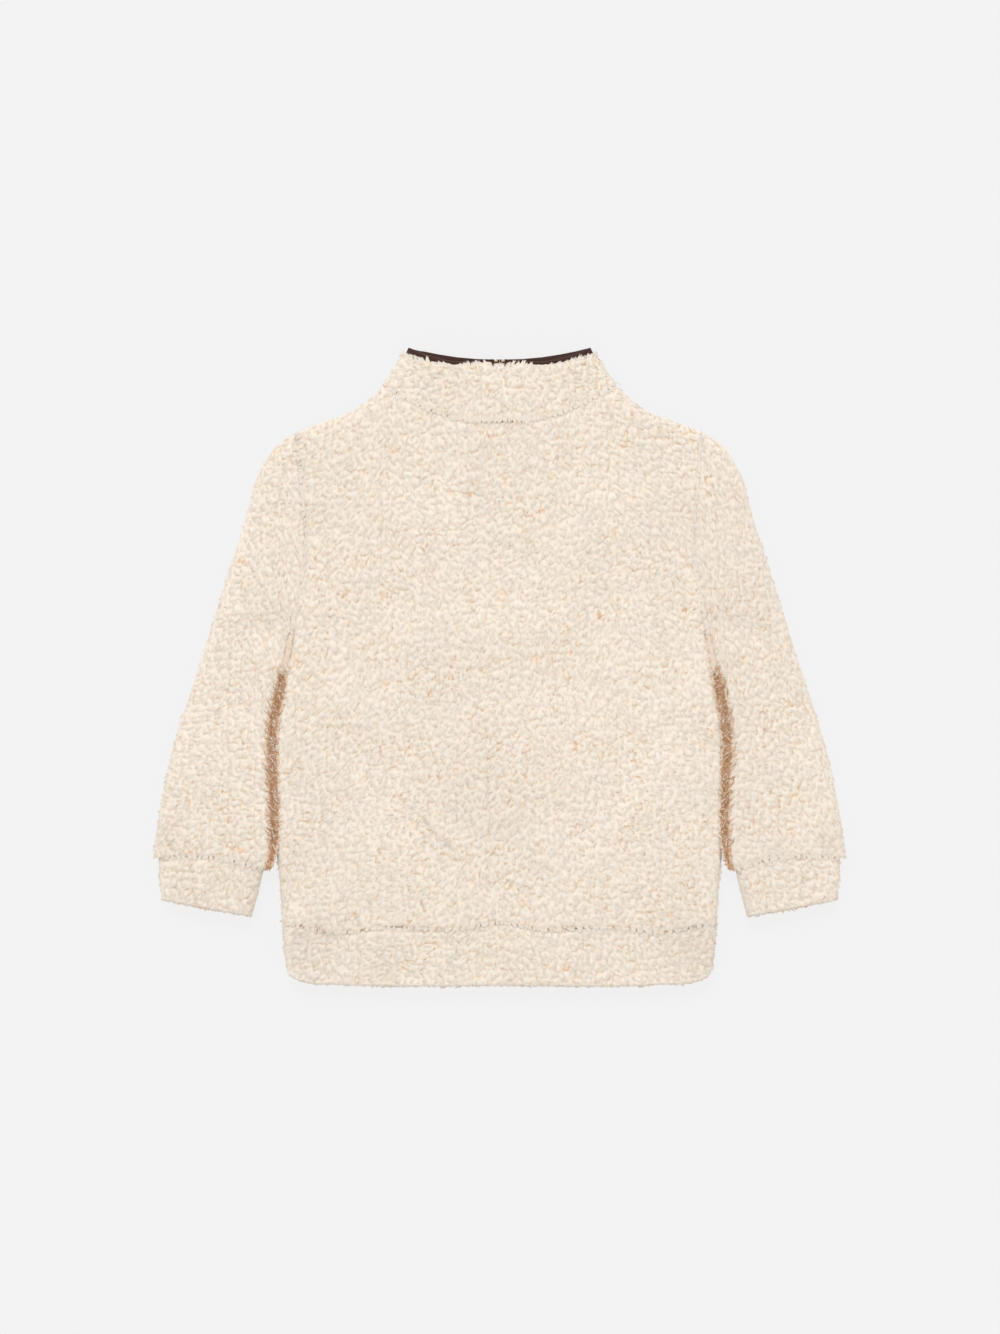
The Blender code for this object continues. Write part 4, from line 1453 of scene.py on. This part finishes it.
@dataclass
class Sleeve(Tube):
    """A set-in sleeve."""

    side: Side = Side.LEFT
    columns: int = 72
    underside_columns: int = 36
    rows: int = 216
    inner_rows: int = 36

    def build(self) -> bpy.types.Object:
        """Build the sleeve's shell and return it."""
        armhole = PlanLine(half(ARMHOLE, self.side)[::-1])
        outer, self.inner, cuff_seam = (
            PlanLine(half(line, self.side)) for line in (SLEEVE_OUTER, SLEEVE_INNER, CUFF_SEAM)
        )
        outward = (self.side.value * SEAM_GAP, 0.0)
        patch = Patch(armhole, cuff_seam, outer, self.inner, outward, (0.0, SEAM_GAP))
        return self.shell(patch, patch, Layers([outer, self.inner], [armhole, cuff_seam]))

    def seam_rows(self) -> list[Row]:
        """Return the rows that hide the crease below the armhole, above the gap."""
        # warm paints shade on the rows over the crease below the armhole
        warm = (0.26, 0.2, 0.12)
        return [
            Row(self.inner, 0.0, 0.17, 0.22, 322.0, 24.0, 3.6, 5.8, 0.5, 0.0, 3.6, 12.8, warm),
            Row(self.inner, 0.0, 0.16, 0.3, 222.0, 24.0, 3.6, 5.8, 0.5, 0.0, 3.6, 13.0, warm),
        ]

    def piles(self, node: str, seed: int) -> list[bpy.types.Object]:
        """Make the sleeve's pile, and the strands in the gap beside the body, browned as painted shade."""
        random = np.random.default_rng(seed + 50)
        strands = Locks()
        for gap in GAP_STRANDS:
            self.lay_gap(strands, gap, random)
        LOG.info("%s_gap: %d strands", node, strands.number)
        return [*super().piles(node, seed), strands.parts.to_object(node + "_gap", self.fleece)]

    def lay_gap(self, strands: Locks, gap: GapStrands, random: np.random.Generator) -> None:
        """Lay strands of one kind in the gap or along one of its edges.

        Args:
            strands: Where they are added.
            gap: The kind of strands.
            random: Where the random numbers come from.
        """
        count = gap.count
        shares = random.uniform(gap.low, gap.high, count)
        line = self.inner.at(shares)
        onward = unit(self.inner.at(shares + 0.01) - line)
        outward = np.column_stack((-onward[:, 1], onward[:, 0])) * self.side.value
        profile = np.interp(shares, (0.0, 0.12, 0.22, 0.5, 0.86, 1.0), (0.2, 0.35, 1.0, 1.0, 0.8, 0.45))
        across = random.uniform(gap.nearest, gap.furthest, count) * profile
        turns = np.radians(random.normal(gap.turn, gap.spread, count))
        ways = onward * np.cos(turns)[:, None] - outward * np.sin(turns)[:, None]
        reach = 0.5 * random.uniform(gap.shortest, gap.longest, count)[:, None] * ways
        centres = line + outward * across[:, None]
        bend = random.normal(0.0, 0.35, count)
        plan = np.stack((centres - reach, centres + outward * bend[:, None], centres + reach), axis=1)
        heights = self.layers.back(plan.reshape(-1, 2)).reshape(count, 3) + gap.lift
        shift = random.uniform(0.0, 0.9, (count, 1)) - np.array([1.2, 0.0, 0.1])
        heights = np.maximum(heights, gap.floor) + shift
        lines = np.concatenate((plan, heights[:, :, None]), axis=2)
        tone = random.normal(0.0, 0.13, count)
        # The strands' browns are painted shade in the gap
        shades = np.clip(np.array(gap.browns) + tone[:, None], 0.0, 1.0)
        strands.lay(lines, random.uniform(0.6, 1.0, count) * gap.width, shades, upright(count))


@dataclass
class Cuff(Tube):
    """The band at the end of a sleeve."""

    side: Side = Side.LEFT
    rows: int = 30
    inner_rows: int = 6

    def build(self) -> bpy.types.Object:
        """Build the cuff's shell and return it."""
        self.seam, end = (PlanLine(half(line, self.side)) for line in (CUFF_SEAM, CUFF_END))
        head = Span(self.seam, *CUFF_SPAN)
        outer = PlanLine([tuple(head.at(0.0)[0]), *half(CUFF_OUTER, self.side)])
        inner = PlanLine([tuple(head.at(1.0)[0]), *half(CUFF_INNER, self.side)])
        patch = Patch(head, end, outer, inner, (0.0, -SEAM_GAP))
        return self.shell(patch, patch, Layers([outer, inner], [self.seam], [end]))

    def seam_rows(self) -> list[Row]:
        """Return the row over the seam at the sleeve."""
        return [Row(self.seam, 0.06, 0.96, 0.3, 282.0, 34.0, 3.6, 6.2, 0.5, 0.16)]


@dataclass
class HemBand(Tube):
    """The band round the hem."""

    columns: int = 270
    underside_columns: int = 120
    rows: int = 42
    inner_rows: int = 6

    def build(self) -> bpy.types.Object:
        """Build the band's shell and return it."""
        sides = [PlanLine(half(BAND_SIDE, side)[::-1]) for side in Side]
        self.seam, bottom = PlanLine(whole(HEM_SEAM)), PlanLine(whole(BAND_BOTTOM))
        patch = Patch(bottom, self.seam, *sides, head_shift=(0.0, -SEAM_GAP))
        return self.shell(patch, patch, Layers(sides, [self.seam], [bottom], seam_dip=1.3))

    def seam_rows(self) -> list[Row]:
        """Return the row over the hem seam."""
        return [Row(self.seam, 0.0, 1.0, 0.3, 296.0, 36.0, 3.8, 6.8, 0.48, 0.27, 4.8)]


@dataclass
class Collar(Tube):
    """The stand collar."""

    columns: int = 144
    underside_columns: int = 66
    rows: int = 36
    inner_rows: int = 6

    def build(self) -> bpy.types.Object:
        """Build the collar's shell and return it."""
        sides = [PlanLine(half(COLLAR_SIDE, side)) for side in Side]
        self.neck, front_neck, self.head = (
            PlanLine(whole(line)) for line in (BACK_NECK, FRONT_NECK, COLLAR_TOP)
        )
        shifts = ((0.0, SEAM_GAP), (0.0, -SEAM_GAP))
        patches = [Patch(neck, self.head, *sides, *shifts) for neck in (self.neck, front_neck)]
        collar = self.shell(*patches, Layers(sides, [self.neck], [self.head]))
        slit_for_zip(collar)
        return collar

    def seam_rows(self) -> list[Row]:
        """Return the rows over the neck seam and over the binding's lower edge."""
        return [
            Row(self.neck, 0.02, 0.4, 0.28, 290.0, 34.0, 3.8, 6.4, 0.5, 0.06),
            Row(self.neck, 0.6, 0.98, 0.28, 290.0, 34.0, 3.8, 6.4, 0.5, 0.06),
            Row(self.neck, 0.33, 0.67, 0.24, 272.0, 8.0, 5.8, 8.0, 0.68, 0.0, 3.2),
            *self.overhangs(),
        ]

    def overhangs(self) -> list[Row]:
        """Return short rows along the top edge, each as long as the pile hangs over the binding there."""
        binding_top, zip_end = 13.0, 5.5
        random = np.random.default_rng(77)
        marks = np.linspace(0.0, 1.0, 49)
        found = []
        for low, high in zip(marks, marks[1:]):
            out = abs(float(self.head.at(0.5 * (low + high))[0, 0]))
            ragged = random.uniform(-0.8, 1.0) if out > zip_end else 0.0
            reach = float(np.interp(out, *zip(*OVERHANGS))) + ragged
            length = 3.4 + max(reach, 0.0)
            lengths = (length - 1.2, length + 0.9)
            before = 1.0 - (reach + 0.6) / length
            found.append(Row(self.head, low, high, 0.26, 62.0, 30.0, *lengths, before, 0.0, 2.6, binding_top))
        return found


@dataclass
class Binding(Tube):
    """The dark tape that binds the collar's top edge, a soft fold of woven tape."""

    columns: int = 120
    underside_columns: int = 60
    rows: int = 12
    inner_rows: int = 2
    outer: float = 12.3
    underside: float = 2.1

    def build(self) -> bpy.types.Object:
        """Build the binding's shell and return it."""
        foot = Span(PlanLine(whole(COLLAR_TOP)), *BINDING_SPAN)
        tops = [PlanLine(whole(line)) for line in (BACK_BINDING_TOP, FRONT_BINDING_TOP)]
        patches = []
        for top in tops:
            sides = [PlanLine([tuple(foot.at(share)[0]), tuple(top.at(share)[0])]) for share in (0.0, 1.0)]
            patches.append(Patch(foot, top, *sides, (0.0, SEAM_GAP)))
        layers = Layers(sides, [], tops, self.outer, self.underside, self.outer, lip_rounding=1.6)
        binding = self.shell(*patches, layers)
        slit_for_zip(binding)
        return binding

    def threads(self) -> bpy.types.Object:
        """Build the ends of the dark threads that hold the zip's top, over the pile, and return them."""
        random = np.random.default_rng(91)
        count = 6
        tacks = Locks()
        for across in (-4.7, 4.0):
            spread = random.uniform(-0.35, 0.35, (count, 3))
            places = across + spread + np.array([0.0, -0.1, -0.5]) * math.copysign(1.0, across)
            along = np.array([199.6, 197.4, 194.9]) + random.uniform(-0.5, 0.4, (count, 3))
            heights = np.array([12.6, 15.9, 17.1]) + random.uniform(-0.1, 0.2, (count, 3))
            lines = np.stack((places, along, heights), axis=2)
            tacks.lay(lines, np.full(count, 0.5), np.zeros((count, 3)), upright(count))
        return tacks.parts.to_object("zip_end_threads", self.fleece)

    def tufted(self, points: Points, heights: Values, lift: float) -> tuple[Points, Values, Points]:
        """Leave the tape smooth and without brown, with its pattern along the collar."""
        places = np.column_stack((points, heights))
        return places, np.zeros(len(points)), places[:, [0, 2]]


def select_only(*pieces: bpy.types.Object) -> None:
    """Select these pieces alone, or nothing, and make the first one that which operators act on."""
    bpy.ops.object.select_all(action="DESELECT")
    for piece in reversed(pieces):
        piece.select_set(True)
        bpy.context.view_layer.objects.active = piece


def carve(piece: bpy.types.Object, cutter: bpy.types.Object) -> None:
    """Cut one object's shape out of a piece, and delete the cutter."""
    select_only(piece)
    hole = piece.modifiers.new("hole", "BOOLEAN")
    hole.operation = "DIFFERENCE"
    hole.object = cutter
    bpy.ops.object.modifier_apply(modifier=hole.name)
    bpy.data.objects.remove(cutter)


def slit_for_zip(piece: bpy.types.Object) -> None:
    """Cut the zip's slot through the lower layer of a piece."""
    width, foot, head, floor, ceiling = 11.0, 60.0, 215.0, -3.0, 6.9
    select_only()
    middle = (0.0, (foot + head) / 2.0 * MM, (floor + ceiling) / 2.0 * MM)
    bpy.ops.mesh.primitive_cube_add(size=1.0, location=middle)
    cutter = bpy.context.object
    cutter.dimensions = (width * MM, (head - foot) * MM, (ceiling - floor) * MM)
    bpy.ops.object.transform_apply(location=True, rotation=True, scale=True)
    carve(piece, cutter)


def settle(piece: bpy.types.Object) -> None:
    """Put an object's place into its mesh, apply its modifiers, and shade it smooth by angle."""
    select_only(piece)
    bpy.ops.object.transform_apply(location=True, rotation=True, scale=True)
    for modifier in list(piece.modifiers):
        bpy.ops.object.modifier_apply(modifier=modifier.name)
    bpy.ops.object.shade_smooth_by_angle(angle=math.radians(38.0))


def round_edges(piece: bpy.types.Object, radius: float) -> bpy.types.Object:
    """Round an object's edges with a live modifier, and return it."""
    rounding = piece.modifiers.new("edges", "BEVEL")
    rounding.width = radius * MM
    rounding.segments = 2
    rounding.limit_method = "ANGLE"
    return piece


def add_block(centre: Triple, size: Triple, edge: float) -> bpy.types.Object:
    """Add a block with rounded edges.

    Args:
        centre: Its middle, in millimetres.
        size: Its lengths along X, Y and Z.
        edge: The radius of its edges.

    Returns:
        The object, still active.
    """
    select_only()
    bpy.ops.mesh.primitive_cube_add(size=1.0, location=[value * MM for value in centre])
    block = bpy.context.object
    block.dimensions = [value * MM for value in size]
    bpy.ops.object.transform_apply(location=False, rotation=False, scale=True)
    return round_edges(block, edge)


def add_rod(centre: Triple, radius: float, length: float, along: str) -> bpy.types.Object:
    """Add a round rod with eased ends.

    Args:
        centre: Its middle, in millimetres.
        radius: Its radius.
        length: Its length.
        along: X or Y, the axis that it lies along.

    Returns:
        The object, still active.
    """
    select_only()
    turn = (0.0, math.pi / 2.0, 0.0) if along == "X" else (math.pi / 2.0, 0.0, 0.0)
    place = [value * MM for value in centre]
    bpy.ops.mesh.primitive_cylinder_add(
        vertices=20, radius=radius * MM, depth=length * MM, location=place, rotation=turn
    )
    return round_edges(bpy.context.object, radius * 0.2)


def joined(name: str, pieces: Sequence[bpy.types.Object], finish: bpy.types.Material) -> bpy.types.Object:
    """Join settled pieces into one object of one finish.

    Args:
        name: The object's name.
        pieces: The pieces.
        finish: Their finish.

    Returns:
        The object.
    """
    for piece in pieces:
        settle(piece)
        piece.data.materials.clear()
        piece.data.materials.append(finish)
    select_only(*pieces)
    bpy.ops.object.join()
    pieces[0].name = pieces[0].data.name = name
    return pieces[0]


@dataclass
class Zip:
    """The half zip down the front: two tapes, teeth, stops, a slider and its pull tab."""

    tape: bpy.types.Material
    metal: bpy.types.Material
    foot: float = 54.0
    slot_foot: float = 60.0
    head: float = 200.2
    tape_half: float = 13.0
    tape_low: float = 6.3
    tape_thick: float = 0.8
    slider_along: float = 186.0
    pin_along: float = 184.0
    pin_height: float = 2.2
    tooth_pitch: float = 2.3

    def build(self) -> dict[str, bpy.types.Object]:
        """Build the zip and return its pieces, each by its solid's name, or as teeth."""
        return {
            "zip_tape": self.tapes(),
            "teeth": self.teeth(),
            "zip_slider": self.slider(),
            "zip_pull": self.pull(),
        }

    def tapes(self) -> bpy.types.Object:
        """Build the two tapes, each with a cord along its inner edge, and return them as one piece."""
        middle, length = (self.foot + self.head) / 2.0, self.head - self.foot
        inner, cord_out, cord_radius = 0.08, 2.9, 0.45
        height = self.tape_low + self.tape_thick / 2.0
        size = (self.tape_half - inner, length, self.tape_thick)
        pieces = []
        for side in Side:
            across = side.value * (inner + self.tape_half) / 2.0
            pieces.append(add_block((across, middle, height), size, 0.25))
            pieces.append(add_rod((side.value * cord_out, middle, self.tape_low), cord_radius, length, "Y"))
        return joined("zip_tape_woven", pieces, self.tape)

    def teeth(self) -> bpy.types.Object:
        """Build both rows of teeth and the stops, and return them as one piece."""
        reach, thick, depth = 3.0, 1.25, 1.9
        first = self.slot_foot + 3.0
        count = int((self.head - 2.2 - self.slot_foot - 3.0) / self.tooth_pitch) + 1
        height = self.tape_low + 0.1
        pieces = []
        for side, shift in zip(Side, (0.0, self.tooth_pitch / 2.0)):
            tooth = add_block((side.value * 0.95, first + shift, height), (reach, thick, depth), 0.22)
            row = tooth.modifiers.new("row", "ARRAY")
            row.count = count
            row.use_relative_offset = False
            row.use_constant_offset = True
            row.constant_offset_displace = (0.0, self.tooth_pitch * MM, 0.0)
            stop = add_block((side.value * 2.3, self.head - 1.1, height), (2.4, 2.0, 2.1), 0.35)
            pieces += [tooth, stop]
        pieces.append(add_block((0.0, self.slot_foot + 1.2, height), (5.6, 2.4, 2.2), 0.4))
        return joined("zip_teeth", pieces, self.metal)

    def slider(self) -> bpy.types.Object:
        """Build the slider, wide at the head and narrow at the foot, with its lugs and pin, and return it."""
        low, high, length = 3.7, 6.0, 10.0
        body = add_block((0.0, self.slider_along, (low + high) / 2.0), (8.0, length, high - low), 0.5)
        select_only(body)
        bpy.ops.object.mode_set(mode="EDIT")
        bpy.ops.mesh.select_all(action="SELECT")
        bpy.ops.mesh.subdivide(number_cuts=3)
        bpy.ops.object.mode_set(mode="OBJECT")
        for share, waist in ((-0.5, 0.72), (-0.25, 0.84), (0.5, 0.9)):
            self.squeeze(body, share * length, waist)
        lugs = [add_block((side.value * 2.3, self.pin_along, 2.75), (1.0, 2.4, 2.5), 0.3) for side in Side]
        pin = add_rod((0.0, self.pin_along, self.pin_height), 0.45, 4.6, "X")
        return joined("zip_slider_body", [body, *lugs, pin], self.metal)

    def squeeze(self, body: bpy.types.Object, along: float, waist: float) -> None:
        """Narrow the slider at one place along it.

        Args:
            body: The slider.
            along: The place, in millimetres from its middle.
            waist: How wide it stays there.
        """
        tolerance = 0.3 * MM
        for vertex in body.data.vertices:
            vertex.select = abs(vertex.co.y - along * MM) < tolerance
        bpy.ops.object.mode_set(mode="EDIT")
        bpy.ops.mesh.select_mode(type="VERT")
        bpy.ops.transform.resize(value=(waist, 1.0, 1.0), center_override=(0.0, self.slider_along * MM, 0.0))
        bpy.ops.object.mode_set(mode="OBJECT")

    def pull(self) -> bpy.types.Object:
        """Build the pull tab: a plate with sunk faces, and an eye round the slider's pin."""
        start, length, wide, thick = 1.7, 15.3, 5.6, 1.1
        pin = (0.0, self.pin_along, self.pin_height)
        middle = self.pin_along - start - length / 2.0
        plate = add_block((0.0, middle, self.pin_height), (wide, length, thick), 0.3)
        select_only(plate)
        for polygon in plate.data.polygons:
            polygon.select = abs(polygon.normal.z) > 0.9
        bpy.ops.object.mode_set(mode="EDIT")
        bpy.ops.mesh.select_mode(type="FACE")
        bpy.ops.mesh.inset(thickness=1.0 * MM, use_individual=True)
        bpy.ops.mesh.inset(thickness=0.15 * MM, depth=-0.2 * MM, use_individual=True)
        bpy.ops.object.mode_set(mode="OBJECT")
        neck = add_block((0.0, self.pin_along - 1.4, self.pin_height), (2.9, 1.3, 1.0), 0.2)
        eye, hole = add_rod(pin, 1.15, 3.0, "X"), add_rod(pin, 0.75, 5.0, "X")
        settle(eye)
        settle(hole)
        carve(eye, hole)
        return joined("zip_pull_tab_plate", [plate, neck, eye], self.metal)


@dataclass
class Studio:
    """A pale floor, soft light and the camera straight above the garment."""

    photo_mm: float = 0.65
    photo_height: int = 1334
    lens: float = 85.0
    sensor: float = 36.0
    outline_height: float = 9.5
    floor_size: float = 6.0
    floor_grey: float = 0.07
    floor_glow: float = 0.812
    dome: float = 0.94
    key: float = 1.1

    def build(self) -> None:
        """Add the floor, the light and the camera."""
        self.add_floor()
        self.add_light()
        self.add_camera()

    def add_floor(self) -> None:
        """Add the floor that the garment lies on."""
        white = (1.0, 1.0, 1.0, 1.0)
        select_only()
        bpy.ops.mesh.primitive_plane_add(size=self.floor_size, location=(0.0, 0.0, 0.0))
        floor = bpy.context.object
        floor.name = "floor"
        board = NodeBoard("floor_paper", Roughness=1.0, Specular_IOR_Level=0.0, Emission_Color=white)
        grain = board.noise(Vector=board.place, Scale=3.0, Detail=2.0)
        dark, light = (3 * (self.floor_grey * share,) for share in (0.998, 1.0))
        colour = board.ramp(grain, (0.0, dark), (1.0, light))
        board.fill(board.shader, Base_Color=colour, Emission_Strength=self.floor_glow)
        floor.data.materials.append(board.material)

    def add_light(self) -> None:
        """Add an even dome, and a wide soft light from beyond the collar."""
        world = bpy.data.worlds.new("soft_dome")
        world.use_nodes = True
        dome = world.node_tree.nodes["Background"].inputs
        dome["Color"].default_value = (1.0, 1.0, 1.0, 1.0)
        dome["Strength"].default_value = self.dome
        bpy.context.scene.world = world
        light = bpy.data.lights.new("key", "SUN")
        light.energy = self.key
        light.angle = math.radians(25.0)
        lamp = bpy.data.objects.new("key", light)
        lamp.location = (-0.35, 2.0, 2.6)
        lamp.rotation_euler = (-lamp.location).to_track_quat("-Z", "Y").to_euler()
        bpy.context.scene.collection.objects.link(lamp)

    def add_camera(self) -> None:
        """Add the camera at the photograph's angle and distance."""
        view_height = self.photo_height * self.photo_mm * MM
        distance = view_height * self.lens / self.sensor + self.outline_height * MM
        camera = bpy.data.cameras.new("camera")
        camera.lens = self.lens
        camera.sensor_width = self.sensor
        holder = bpy.data.objects.new("camera", camera)
        holder.location = (0.5 * self.photo_mm * MM, 0.0, distance)
        bpy.context.scene.collection.objects.link(holder)
        bpy.context.scene.camera = holder
        bpy.context.scene.view_settings.view_transform = "Standard"


def dress(piece: bpy.types.Object, node: str, body: str = GARMENT) -> bpy.types.Object:
    """Put a piece in its solid's place.

    Args:
        piece: The piece.
        node: The CAD node that it stands for.
        body: The body that it rides on.

    Returns:
        The piece.
    """
    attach(piece, body)
    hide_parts(node)
    return piece


def everywhere(spots: Points) -> Values:
    """Keep every tuft."""
    return np.ones(len(spots), bool)


def main() -> None:
    """Build and dress the garment, then the studio."""
    logging.basicConfig(level=logging.INFO, format="%(message)s")
    Studio().build()
    fleece = TeddyFleece().material("teddy_fleece")
    tape = WovenTape().material("binding_tape")
    brass = AntiqueBrass().material("zip_metal")
    pieces = {
        "back": Panel("back_fleece", fleece),
        "front": Panel("front_fleece", fleece, upper=False),
        "sleeve_left": Sleeve("sleeve_left_fleece", fleece, side=Side.LEFT),
        "sleeve_right": Sleeve("sleeve_right_fleece", fleece, side=Side.RIGHT),
        "cuff_left": Cuff("cuff_left_fleece", fleece, side=Side.LEFT),
        "cuff_right": Cuff("cuff_right_fleece", fleece, side=Side.RIGHT),
        "hem_band": HemBand("hem_band_fleece", fleece),
        "collar": Collar("collar_fleece", fleece),
    }
    for order, (node, piece) in enumerate(pieces.items()):
        shell = dress(piece.build(), node)
        piles = piece.piles(node, 100 + order)
        for pile in piles:
            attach(pile, GARMENT)
        cut = piece.cut(1 if isinstance(piece, Panel) else 2)
        LOG.info("%s: %.3f by %.3f m, %.4f square metres", shell.name, *cut)
    binding = Binding("collar_binding_tape", tape)
    bound = dress(binding.build(), "collar_binding")
    threads = binding.threads()
    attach(threads, GARMENT)
    zip_pieces = Zip(tape, brass).build()
    dress(zip_pieces["zip_tape"], "zip_tape")
    dress(zip_pieces["zip_slider"], "zip_slider")
    dress(zip_pieces["zip_pull"], "zip_pull", PULL_TAB)
    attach(zip_pieces["teeth"], GARMENT)
    for piece in (bound, *zip_pieces.values()):
        LOG.info("%s: %d points", piece.name, len(piece.data.vertices))


if __name__ == "__main__":
    main()
